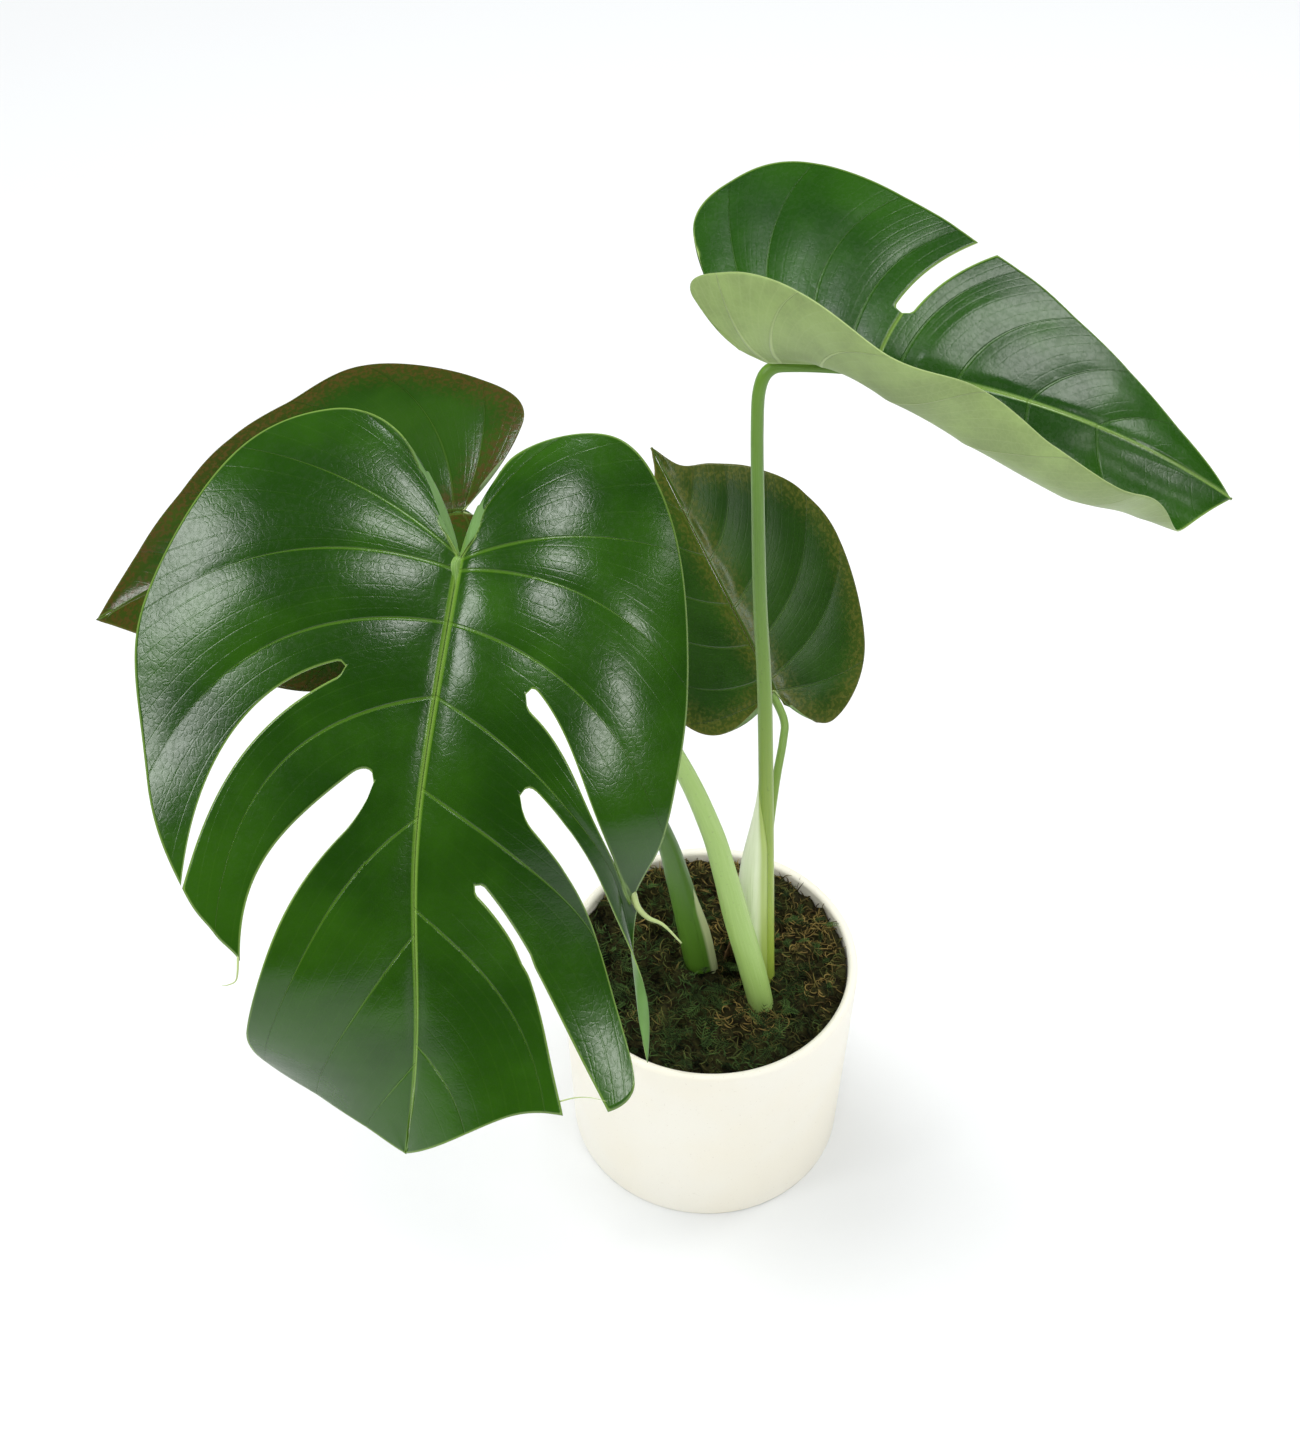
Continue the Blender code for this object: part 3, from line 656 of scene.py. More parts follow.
def leaf_under_material(name, colour, vein):
    """Matt underside with raised, paler veins."""
    material, tree, shader = new_material(name, sheen=0.15)
    veins = use_group(tree, vein_group())
    mottle = use_group(tree, mottle_group(), {"Size": 40.0})
    base = blend_colours(tree, mottle["Broad"], scaled(colour, 0.72), colour)
    lines = calculate(tree, "MULTIPLY_ADD", veins["Fine"], 0.08,
                      calculate(tree, "MULTIPLY", veins["Vein"], 0.6), clamp=True)
    base = blend_colours(tree, lines, base, vein)
    base = tint_by_masks(tree, base, veins, (("Midrib", 0.9, vein), ("Net", 0.07, vein)))
    tree.links.new(base, shader.inputs["Base Color"])
    bump(tree, shader, calculate(tree, "MULTIPLY", veins["Height"], -1.0), 0.0006)
    return material


def margin_material(name, colour):
    material, tree, shader = new_material(name, 0.4)
    fleck = noise_field(tree, object_place(tree), 300.0)
    tree.links.new(blend_colours(tree, fleck, scaled(colour, 0.75), colour),
                   shader.inputs["Base Color"])
    return material


def stalk_material(name, foot, top, streak, span):
    """Smooth stalk: foot colour fades to the top colour over the span of its run (m)."""
    material, tree, shader = new_material(name, 0.38, coat=0.05, coat_roughness=0.3)
    _, run, lane = stretched_wrap(tree, 26.0, 22.0)
    colour = blend_colours(tree, fade(tree, run, *span, 0.0, 1.0), foot, top)
    lines = noise_field(tree, lane, 1.6, 4.0, 0.6)
    colour = blend_colours(tree, fade(tree, lines, 0.42, 0.72, 0.0, 0.45), colour, streak)
    fleck = noise_field(tree, object_place(tree), 650.0, 2.0)
    colour = blend_colours(tree, fade(tree, fleck, 0.66, 0.72, 0.0, 0.35), colour,
                           scaled(streak, 0.45))
    tree.links.new(colour, shader.inputs["Base Color"])
    bump(tree, shader, lines, 0.0004, 0.5)
    return material


def sheath_material(name, pale, green):
    material, tree, shader = new_material(name, 0.42, coat=0.1)
    turn, _, lane = stretched_wrap(tree, 14.0, 20.0)
    lines = noise_field(tree, lane, 2.0, 4.0, 0.6)
    colour = blend_colours(tree, fade(tree, turn, 0.3, 0.6, 1.0, 0.0), pale, green)
    colour = blend_colours(tree, fade(tree, lines, 0.4, 0.75, 0.0, 0.2), colour, green)
    tree.links.new(colour, shader.inputs["Base Color"])
    bump(tree, shader, lines, 0.0003, 0.5)
    return material


def dry_material(name, brown):
    material, tree, shader = new_material(name, 0.85)
    _, _, lane = stretched_wrap(tree, 30.0, 60.0)
    fibres = noise_field(tree, lane, 1.8, 5.0, 0.65)
    colour = blend_colours(tree, fade(tree, fibres, 0.35, 0.7, 0.0, 1.0),
                           scaled(brown, 0.35), scaled(brown, 2.2))
    tree.links.new(colour, shader.inputs["Base Color"])
    bump(tree, shader, fibres, 0.0006)
    return material


def ceramic_material(name, colour, speckle):
    """Satin ceramic: warm clouding, rare small specks and a faint turned grain."""
    material, tree, shader = new_material(name, 0.42, coat=0.2, coat_roughness=0.35)
    spot = object_place(tree)
    cloud = noise_field(tree, spot, 14.0, 3.0)
    warm = (colour[0], colour[1] * 0.985, colour[2] * 0.95)
    base = blend_colours(tree, fade(tree, cloud, 0.35, 0.65, 0.0, 1.0), colour, warm)
    specks = noise_field(tree, spot, 900.0, 1.0)
    base = blend_colours(tree, fade(tree, specks, 0.72, 0.76, 0.0, 0.35), base, speckle)
    tree.links.new(base, shader.inputs["Base Color"])
    rings = noise_field(tree, object_place(tree, (6, 6, 420)), 1.0, 4.0)
    grain = noise_field(tree, spot, 1400.0, 2.0)
    relief = calculate(tree, "MULTIPLY_ADD", grain, 0.35, rings)
    tree.links.new(fade(tree, cloud, 0.3, 0.7, 0.38, 0.47), shader.inputs["Roughness"])
    bump(tree, shader, relief, 0.00006)
    return material


def strand_material(name, dark, middle, light):
    """Moss strands: tint picked for each strand; painted shade darkens its foot and the
    hollows.
    """
    material, tree, shader = new_material(name, 0.85, specular=0.2)
    along, tint = uv_parts(tree, "strand")
    ramp = add_node(tree, "ShaderNodeValToRGB", {"Fac": tint})
    ramp.color_ramp.elements[0].color = (*dark, 1)
    ramp.color_ramp.elements[1].color = (*light, 1)
    ramp.color_ramp.elements.new(0.5).color = (*middle, 1)
    # painted shade and light: near black at each strand's foot, up to 1.3 times brighter at
    # its tip
    shade = fade(tree, along, 0.0, 0.9, 0.06, 1.3)
    shaded = add_node(tree, "ShaderNodeMix", data_type="RGBA", blend_type="MULTIPLY")
    shaded.inputs[0].default_value = 1.0
    tree.links.new(ramp.outputs[0], shaded.inputs[6])
    tree.links.new(shade, shaded.inputs[7])
    tree.links.new(shaded.outputs[2], shader.inputs["Base Color"])
    return material


def crumb_material(name, dark, light):
    """Crumbly ground, for the soil and the bed under the moss strands."""
    material, tree, shader = new_material(name, 0.95, specular=0.2)
    spot = object_place(tree)
    crumbs = noise_field(tree, spot, 260.0, 6.0, 0.7)
    patches = noise_field(tree, spot, 45.0, 3.0)
    colour = blend_colours(tree, fade(tree, crumbs, 0.35, 0.7, 0.0, 1.0), dark, light)
    colour = blend_colours(tree, fade(tree, patches, 0.4, 0.65, 0.0, 0.5), colour, dark)
    tree.links.new(colour, shader.inputs["Base Color"])
    bump(tree, shader, crumbs, 0.0016)
    return material


def floor_material(name, colour):
    material, tree, shader = new_material(name, 0.7, specular=0.2)
    grain = noise_field(tree, object_place(tree), 3.0, 2.0)
    tree.links.new(blend_colours(tree, grain, colour, scaled(colour, 1.01)),
                   shader.inputs["Base Color"])
    return material


# ----------------------------------------------------------------------------
# Leaves
# ----------------------------------------------------------------------------


class Blade:
    """One leaf blade: flat shape, and the same shape bent into place."""

    def __init__(self, leaf):
        self.leaf = leaf
        self.length = leaf.length
        self.along = np.linspace(-0.6, 1.1, 341)
        tangents = self.frame(self.along * self.length)[0]
        step = (self.along[1] - self.along[0]) * self.length
        spine = np.zeros_like(tangents)
        spine[1:] = np.cumsum((tangents[1:] + tangents[:-1]) / 2 * step, axis=0)
        at_base = [np.interp(0, self.along, spine[:, axis]) for axis in range(3)]
        self.spine = spine - at_base + np.array(leaf.origin)

    def course(self, values, y):
        """Value at y of a number given at even steps from the leaf's base to its tip."""
        share = np.clip(np.asarray(y) / self.length, -0.35, 1.1)
        steps = len(values) - 1
        inside = smooth_spline(values, np.clip(share, 0, 1) * steps)
        return inside + np.minimum(share, 0) * steps * (values[1] - values[0])

    def frame(self, y):
        """Along, across and up directions of the midrib at y."""
        heading = np.radians(self.course(self.leaf.heading, y))
        pitch = np.radians(self.course(self.leaf.pitch, y))
        roll = np.radians(self.course(self.leaf.roll, y))[..., None]
        along = np.stack([np.cos(pitch) * np.cos(heading),
                          np.cos(pitch) * np.sin(heading), np.sin(pitch)], -1)
        up = np.stack([-np.sin(pitch) * np.cos(heading),
                       -np.sin(pitch) * np.sin(heading), np.cos(pitch)], -1)
        across = np.cross(along, up)
        return (along, across * np.cos(roll) + up * np.sin(roll),
                up * np.cos(roll) - across * np.sin(roll))

    def centre(self, y):
        return np.stack([np.interp(np.asarray(y) / self.length, self.along,
                                   self.spine[:, axis]) for axis in range(3)], -1)

    def flat(self, half, share, station):
        """Flat place of the point at a share of the rib that starts at a station."""
        ribs = getattr(self.leaf, half).ribs
        start = np.interp(station, range(len(ribs)), self.leaf.stations)
        reach = smooth_spline(ribs, station)
        over, along, bow = reach[..., 0], reach[..., 1], reach[..., 2]
        rise = along - start
        middle_x = over / 2 + bow * rise
        middle_y = start + rise / 2 - bow * over
        x = 2 * share * (1 - share) * middle_x + share ** 2 * over
        y = ((1 - share) ** 2 * start + 2 * share * (1 - share) * middle_y
             + share ** 2 * along)
        return x, y

    def bent(self, half, x, y, lift=0.0):
        """Place in space of a flat point; lift moves it off the face of the blade."""
        sign, which = (1, 0) if half == "right" else (-1, 1)
        fold = np.radians(self.course(self.leaf.fold[which], y))
        turn = np.radians(self.course(self.leaf.curl[which], y)) / 100
        turn = np.where(np.abs(turn) < 1e-6, 1e-6, turn)
        slope = fold + turn * x
        outward = (np.sin(slope) - np.sin(fold)) / turn - lift * np.sin(slope)
        upward = (np.cos(fold) - np.cos(slope)) / turn + lift * np.cos(slope)
        _, across, up = self.frame(y)
        return self.centre(y) + sign * outward[..., None] * across + upward[..., None] * up

    def spacing(self, half, share, station):
        """Millimetres across the blade for one station along it."""
        here = self.flat(half, share, station + 0.02)
        there = self.flat(half, share, station - 0.02)
        return np.hypot(here[0] - there[0], here[1] - there[1]) / 0.04

    def vein_phase(self, half, station):
        """Whole on each side vein, and half way between two of them."""
        veins = getattr(self.leaf, half).veins
        phase = np.interp(station, veins, range(len(veins)))
        return (phase + np.minimum(station - veins[0], 0) / (veins[1] - veins[0])
                + np.maximum(station - veins[-1], 0))

    def slit_middle(self, slit, share):
        """Station of the slit's middle line at a share of its rib."""
        station, start, drift, _ = slit
        course = np.polyfit((0, start, (start + 1) / 2, 1), (0, *drift), 3)
        return station + np.polyval(course, share)

    def slit_half_width(self, half, slit, share):
        """Half the slit's opening, in stations, at a share of its rib."""
        station, start, _, widths = slit
        course = np.polyfit((start, (start + 1) / 2, 1), widths, 2)
        rib = getattr(self.leaf, half).ribs[station]
        length = math.hypot(rib[0], rib[1] - self.leaf.stations[station])
        into = np.clip((share - start) * length / (widths[0] / 2), 0, 1)
        opening = np.polyval(course, share) * np.sqrt(1 - (1 - into) ** 2)
        spacing = self.spacing(half, share, self.slit_middle(slit, share))
        return np.where(share > start, opening / 2 / np.maximum(spacing, 0.1), 0)

    def strips(self, half):
        """Spans between slits: (station, station, slit or None, slit or None)."""
        slits = [None, *getattr(self.leaf, half).slits, None]
        last = len(self.leaf.stations) - 1
        for low, high in zip(slits[:-1], slits[1:]):
            yield low[0] if low else 0, high[0] if high else last, low, high

    def columns(self, cell):
        """Stations of the mesh columns, the same for both halves."""
        stops = [0.0]
        for station in range(len(self.leaf.stations) - 1):
            width = 0
            for half in (self.leaf.right, self.leaf.left):
                low, high = np.array(half.ribs[station]), np.array(half.ribs[station + 1])
                width = max(width, math.hypot(*(high - low)[:2]))
            count = max(3, round(width / cell))
            stops += [station + (step + 1) / count for step in range(count)]
        return np.array(stops)


def turn_finger(blade, half, places, share, middle, degrees, turn_from):
    """Turns a finger of the blade about its own middle line, more towards its tip."""
    def core(at):
        return blade.bent(half, *blade.flat(half, at, np.full_like(at, middle)))

    axis = unit(core(np.minimum(share + 0.02, 1.02)) - core(share - 0.02))
    offset = places - core(share)
    angle = np.radians(degrees) * ease(turn_from, 1.0, share)[:, None]
    return core(share) + (offset * np.cos(angle) + np.cross(axis, offset) * np.sin(angle)
                          + axis * (axis * offset).sum(-1, keepdims=True)
                          * (1 - np.cos(angle)))


def blade_strip(bm, blade, half, strip, columns, rows, settings):
    """One strip of a half blade, from the midrib to the margin."""
    first, last, low, high = strip
    stops = columns[(columns >= first - 1e-6) & (columns <= last + 1e-6)]
    verts, row, column = grid_patch(bm, rows, len(stops) - 1)
    share = row / rows
    start, end = np.full_like(share, first), np.full_like(share, last)
    if low:
        start = blade.slit_middle(low, share) + blade.slit_half_width(half, low, share)
    if high:
        end = blade.slit_middle(high, share) - blade.slit_half_width(half, high, share)
    across = (stops[column] - first) / (last - first)
    station = start + (end - start) * across
    x, y = blade.flat(half, share, station)

    phase = blade.vein_phase(half, station)
    ahead = blade.vein_phase(half, station + 0.05)
    behind = blade.vein_phase(half, station - 0.05)
    per_station = blade.spacing(half, share, np.clip(station, 0.03, last - 0.03))
    spacing = per_station * 0.1 / np.maximum(ahead - behind, 0.03)

    between = np.abs(phase - np.rint(phase)) * 2
    arch = np.sin(between * math.pi / 2) ** 0.8
    arch = arch * ease(0, 0.12, share) * (1 - 0.65 * ease(0.6, 1, share))
    lift = settings.quilting / MM * arch * np.clip(spacing / FULL_QUILT_SPACING, 0, 1.3)
    valley = np.exp(-(x / VALLEY_HALF_WIDTH) ** 2) * (1 - y / 300)
    lift = lift - settings.midrib_depth / MM * valley
    wave = np.sin(y / 17 + x / 41) + 0.6 * np.sin(y / 9.5 - x / 23 + 1.3)
    lift = lift + SWELL_HEIGHT * wave * ease(0.35, 1, share)
    places = blade.bent(half, x, y, lift)
    for finger, degrees, turn_from in getattr(blade.leaf, half).twists:
        if finger == first:
            places = turn_finger(blade, half, places, share, (first + last) / 2,
                                 degrees, turn_from)
    place(verts, places * MM)

    sign = 1 if half == "right" else -1
    write_uv(bm, "ribs", verts, np.stack([share, phase], -1))
    write_uv(bm, "flat", verts, np.stack([sign * x, y], -1) * MM)
    write_uv(bm, "relief", verts, np.stack([spacing, 0 * spacing], -1) * MM)
    if half == "left":
        faces = list({face for vert in verts for face in vert.link_faces})
        bmesh.ops.reverse_faces(bm, faces=faces)


def note_margin(bm):
    """Stores each vert's distance from the blade's margin in the relief layer."""
    rim = {vert for edge in bm.edges if edge.is_boundary for vert in edge.verts}
    tree = kdtree.KDTree(len(rim))
    for index, vert in enumerate(rim):
        tree.insert(vert.co, index)
    tree.balance()
    layer = bm.loops.layers.uv["relief"]
    for vert in bm.verts:
        distance = tree.find(vert.co)[2]
        for loop in vert.link_loops:
            loop[layer].uv.y = distance


def build_blade(name, leaf, materials, slot, settings):
    blade = Blade(leaf)
    cell = settings.cell / MM
    columns = blade.columns(cell)
    widest = max(math.hypot(rib[0], rib[1] - leaf.stations[index])
                 for half in (leaf.right, leaf.left) for index, rib in enumerate(half.ribs))
    rows = round(widest / cell)
    bm = bmesh.new()
    for half in ("right", "left"):
        for strip in blade.strips(half):
            blade_strip(bm, blade, half, strip, columns, rows, settings)
    bmesh.ops.remove_doubles(bm, verts=bm.verts, dist=0.02 * MM)
    note_margin(bm)
    piece = finish_mesh(name + "_blade", bm, materials, slot, merge=0)
    shell = thicken(piece, settings.thickness, -1)
    shell.use_quality_normals = True
    shell.material_offset = 1
    shell.material_offset_rim = 2
    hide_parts(name)


# ----------------------------------------------------------------------------
# Petioles, sheaths and bract
# ----------------------------------------------------------------------------


def petiole_course(petiole):
    """Points from the moss to the leaf and on along the midrib's underside."""
    leaf = LEAVES[petiole.leaf]
    blade = Blade(leaf)
    _, _, up = blade.frame(np.array(0.0))
    tip_radius = petiole.radii[-1]
    route = [*petiole.route, tuple(np.array(leaf.origin) - up * (tip_radius + END_DROP))]
    radii = [*petiole.radii, tip_radius]
    rib_at = np.linspace(0.05, 0.9, MIDRIB_RINGS) * leaf.length
    _, _, rib_up = blade.frame(rib_at)
    rib_radii = tip_radius * (1 - 0.8 * rib_at / leaf.length) * MIDRIB_SHARE
    rib = blade.centre(rib_at) - rib_up * (rib_radii[:, None] * 0.75 + MIDRIB_DROP)
    route += [tuple(point) for point in rib]
    radii += list(rib_radii)
    lengths = np.linalg.norm(np.diff(np.array(route), axis=0), axis=1).sum()
    where = np.linspace(0, len(route) - 1, int(lengths / RING_LENGTH))
    return smooth_spline(route, where) * MM, smooth_spline(radii, where) * MM


def build_petiole(name, petiole, material, slot, sides):
    points, radii = petiole_course(petiole)

    def outline(angle):
        groove = np.exp(-((np.abs(angle - math.pi) - math.pi) / 0.5) ** 2)
        ribbing = 0.012 * np.sin(angle * 9)
        return 1 - petiole.groove * groove + ribbing

    bm = bmesh.new()
    wrap_tube(bm, points, radii, sides, outline)
    piece = finish_mesh(name + "_stalk", bm, [material], slot)
    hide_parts(name)


def wing_surface(bm, spots, reach, start_angle, end_angle, cup):
    """Thin wing beside a stalk; spots are (centre, radius) from bottom to top."""
    rows, columns = 10, len(spots) - 1
    verts, row, column = grid_patch(bm, rows, columns)
    centres = np.array([spot[0] for spot in spots])[column]
    radius = np.array([spot[1] for spot in spots])[column]
    share_out, share_up = row / rows, column / columns
    spread = reach(share_up)
    wrap = (1 - share_out) * ease(0, 0.35, 1 - share_up)
    angle = np.radians(end_angle + (start_angle - end_angle) * wrap)
    out = radius + spread * share_out ** 1.3
    offset = np.stack([np.cos(angle) * out, np.sin(angle) * out
                       + cup * spread * np.sin(share_out * math.pi), 0 * out], -1)
    place(verts, centres + offset)
    write_uv(bm, "wrap", verts, np.stack([share_out, centres[:, 2]], -1))


def build_wing(name, petiole_name, low, high, reach, angles, cup, material):
    """Wing from the low to the high height (mm); reach(share upwards) is its width."""
    points, radii = petiole_course(PETIOLES[petiole_name])
    upright = points[:, 2] < (high + 30) * MM
    heights = np.linspace(low, high, 60) * MM
    spots = []
    for height in heights:
        centre = [np.interp(height, points[upright, 2], points[upright, axis])
                  for axis in range(3)]
        radius = np.interp(height, points[upright, 2], radii[upright]) * WING_START
        spots.append((centre, radius))
    bm = bmesh.new()
    wing_surface(bm, spots, reach, *angles, cup)
    piece = finish_mesh(name + "_wing", bm, [material], "sheath_pale")
    thicken(piece, WING_THICKNESS)
    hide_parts(name)


def build_dry_bract(material):
    """Crumpled dry bract, pinched at its top, beside the back petiole."""
    low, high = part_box("dry_sheath")
    middle = (low + high) / 2
    radius = (high.x - low.x) / 2
    bm = bmesh.new()
    rows, columns = 20, 16
    verts, row, column = grid_patch(bm, rows, columns)
    angle = np.radians(BRACT_START + BRACT_TURN * row / rows)
    rise = column / columns
    crumple = 1 + 0.12 * np.sin(angle * 5 + rise * 7) + 0.08 * np.sin(angle * 11 - rise * 5)
    out = radius * (1 - 0.5 * rise ** 1.5) * crumple
    top = (high.z - low.z) * (0.85 + 0.15 * np.sin(angle * 3))
    place(verts, np.stack([middle.x + np.cos(angle) * out, middle.y + np.sin(angle) * out,
                           low.z - BRACT_INTO_MOSS + rise * top], -1))
    write_uv(bm, "wrap", verts, np.stack([row / rows, rise * 0.02], -1))
    piece = finish_mesh("dry_bract", bm, [material], "dry_bract")
    thicken(piece, BRACT_THICKNESS)
    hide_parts("dry_sheath")


def build_thread(name, points, radius, material, slot):
    """Tapered thread, as the leaf leaves at the ends of its fingers."""
    where = np.linspace(0, len(points) - 1, THREAD_RINGS)
    course = smooth_spline(points, where) * MM
    radii = radius * MM * (1 - 0.8 * np.linspace(0, 1, THREAD_RINGS))
    bm = bmesh.new()
    wrap_tube(bm, course, radii, THREAD_SIDES)
    finish_mesh(name, bm, [material], slot)


# ----------------------------------------------------------------------------
# Pot and moss
# ----------------------------------------------------------------------------


def spin_profile(bm, profile, segments):
    verts = [bm.verts.new((radius, 0, height)) for radius, height in profile]
    edges = [bm.edges.new(pair) for pair in zip(verts[:-1], verts[1:])]
    bmesh.ops.spin(bm, geom=verts + edges, axis=(0, 0, 1), cent=(0, 0, 0),
                   steps=segments, angle=2 * math.pi, use_merge=True)
    bmesh.ops.remove_doubles(bm, verts=bm.verts, dist=0.02 * MM)
    bmesh.ops.recalc_face_normals(bm, faces=bm.faces)


def arc_points(centre, radius, start, end, count):
    return [(centre[0] + radius * math.cos(angle), centre[1] + radius * math.sin(angle))
            for angle in np.radians(np.linspace(start, end, count))]


def pot_sizes():
    """Rim and foot radius and height, read from the pot's solid."""
    low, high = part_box("pot")
    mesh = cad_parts["pot"].data
    foot = max(vert.co.x for vert in mesh.vertices if vert.co.z < low.z + 2 * MM)
    return high.x, foot, high.z


class MossBed:
    """Height of the moss, with lumps and a hollow between the petioles."""

    def __init__(self, lump):
        low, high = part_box("moss_layer")
        self.foot, self.crown, self.reach = low.z, high.z, high.x
        self.lump = lump

    def height(self, x, y):
        rise = WALL_RISE * (x * x + y * y) / (self.reach * self.reach)
        off_x, off_y = x - HOLLOW_PLACE[0], y - HOLLOW_PLACE[1]
        hollow = math.exp(-((off_x / HOLLOW_REACH[0]) ** 2 + (off_y / HOLLOW_REACH[1]) ** 2))
        lumps = self.lump * self.lumpiness(x, y)
        return self.crown + rise + lumps - HOLLOW_DEPTH * hollow

    def lumpiness(self, x, y):
        """About -0.5 in the gaps between tufts and 0.5 on top of them."""
        spot = Vector((x * 80, y * 80, 0.7))
        return noise.noise(spot) * 0.5 + noise.noise(spot * 2.3) * 0.5

    def spot(self, chance, inset):
        """A place on the moss picked evenly, at least the inset from its edge."""
        radius = (self.reach - inset) * math.sqrt(chance.random())
        angle = chance.uniform(0, 2 * math.pi)
        x, y = radius * math.cos(angle), radius * math.sin(angle)
        return x, y, self.height(x, y)


# start, direction, length, radius, curl per step, tint and painted light, both from 0 to 1
Strand = namedtuple("Strand", "start direction length radius curl tint light")


def strands_mesh(strands):
    """Bmesh of curled, three-sided strands that taper to a point."""
    steps = STRAND_STEPS

    def column(name):
        return np.array([getattr(strand, name) for strand in strands], float)

    direction = unit(column("direction"))
    side = unit(np.cross(direction, (0.31, 0.17, 0.93)))
    stride, curl = (column("length") / steps)[:, None], column("curl")[:, None]
    point, spots, sides, acrosses = column("start"), [], [], []
    for _ in range(steps + 1):
        spots.append(point)
        sides.append(side)
        acrosses.append(np.cross(direction, side))
        point = point + direction * stride
        direction = unit(direction + side * curl)
        side = unit(side - direction * (side * direction).sum(-1, keepdims=True))
    spots, sides, acrosses = (np.stack(values, 1) for values in (spots, sides, acrosses))

    bm = bmesh.new()
    per_strand = steps + 1
    verts, turn, row = grid_patch(bm, 3, len(strands) * per_strand - 1)
    which, step = row // per_strand, row % per_strand
    angle = (turn / 3 * 2 * math.pi)[:, None]
    size = (column("radius")[which] * (1 - 0.85 * step / steps))[:, None]
    places = spots[which, step] + size * (np.cos(angle) * sides[which, step]
                                          + np.sin(angle) * acrosses[which, step])
    owner = dict(zip(verts, which))
    bridges = [face for face in bm.faces
               if len({owner[vert] for vert in face.verts}) > 1]
    place(verts, places)
    # painted shade: each strand darker towards its foot
    light = column("light")[which] * (0.25 + 0.75 * step / steps)
    write_uv(bm, "strand", verts, np.stack([light, column("tint")[which]], -1))
    bmesh.ops.delete(bm, geom=bridges, context="FACES_ONLY")
    return bm


def strand_direction(chance, steepness):
    angle = chance.uniform(0, 2 * math.pi)
    return math.cos(angle), math.sin(angle), chance.uniform(*steepness)


def loose_strands(chance, count, bed):
    strands = []
    for _ in range(count):
        x, y, height = bed.spot(chance, 1 * MM)
        tint = 0.5 + 0.9 * noise.noise(Vector((x * 40, y * 40, 3.1)))
        tint = tint + 0.3 * (x + y) / bed.reach + chance.uniform(-0.35, 0.35)
        # painted shade: strands in the hollows between tufts darker, those on the tufts
        # lighter
        light = 0.55 + 1.6 * bed.lumpiness(x, y) + chance.uniform(-0.3, 0.3)
        across, along, rise = strand_direction(chance, (0.1, 1.2))
        outward = (across * x + along * y) / bed.reach
        near_rim = math.hypot(x, y) > bed.reach - BRIM_WIDTH
        strands.append(Strand((x, y, height - 0.8 * MM),
                              (across, along, rise + (max(0, outward) * 2 if near_rim else 0)),
                              chance.uniform(*STRAND_LENGTHS) * MM,
                              chance.uniform(*STRAND_RADII) * MM,
                              chance.uniform(*STRAND_CURLS), min(1, max(0, tint)),
                              min(1, max(0.05, light))))
    return strands


def frond_strands(chance, count, bed):
    """Small feathered fronds: a stem with short side sprigs."""
    strands = []
    for _ in range(count):
        start = Vector(bed.spot(chance, 6 * MM)) + Vector((0, 0, 2 * MM))
        stem = Vector(strand_direction(chance, (0.1, 0.6))).normalized()
        length = chance.uniform(7, 15) * MM * (0.8 if start.y > 0 else 1.2)
        tint, light = chance.uniform(0, 1), chance.uniform(0.5, 1)
        strands.append(Strand(start, stem, length, 0.32 * MM, 0.1, tint, light))
        side = stem.cross(Vector((0, 0, 1))).normalized()
        for step in range(2, 9):
            foot = start + stem * length * step / 10
            for sign in (-1, 1):
                sprig = stem + side * sign * 1.1
                strands.append(Strand(foot, sprig, length * 0.36 * (1.1 - step / 10),
                                      0.26 * MM, 0.1, tint, light))
    return strands


# ----------------------------------------------------------------------------
# Operators
# ----------------------------------------------------------------------------


class MONSTERA_OT_pot(bpy.types.Operator):
    """Build the turned ceramic pot"""
    bl_idname = "monstera.pot"
    bl_label = "Build Pot"

    def execute(self, context):
        settings = context.scene.monstera_pot
        rim, foot, height = pot_sizes()
        wall, floor = settings.wall, settings.floor
        lip = wall / 2
        inner_foot = foot - wall
        profile = [
            (0, floor),
            *arc_points((inner_foot - floor / 2, floor * 1.5), floor / 2, -90, 0, 7),
            *arc_points((rim - lip, height - lip), lip, 180, 0, 17),
            *arc_points((foot - FOOT_BEVEL, FOOT_BEVEL), FOOT_BEVEL, 0, -90, 7),
            (0, 0),
        ]
        bm = bmesh.new()
        spin_profile(bm, profile, settings.segments)
        material = ceramic_material("ivory_ceramic", settings.ceramic, settings.speckle)
        piece = finish_mesh("turned_pot", bm, [material], "pot_ceramic")
        piece.data.set_sharp_from_angle(angle=math.radians(SMOOTH_BEND))
        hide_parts("pot")
        return {"FINISHED"}


class MONSTERA_OT_soil(bpy.types.Operator):
    """Finish the soil and the short stems in it"""
    bl_idname = "monstera.soil"
    bl_label = "Finish Soil and Stems"

    def execute(self, context):
        finishes = {
            "potting_soil": crumb_material("potting_mix", (0.02, 0.012, 0.007),
                                           (0.075, 0.05, 0.03)),
            "main_stem": crumb_material("stem_bark", (0.10, 0.09, 0.03),
                                        (0.22, 0.24, 0.09)),
        }
        finishes["side_stem"] = finishes["main_stem"]
        for name, material in finishes.items():
            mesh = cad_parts[name].data
            mesh.materials.clear()
            mesh.materials.append(material)
        return {"FINISHED"}


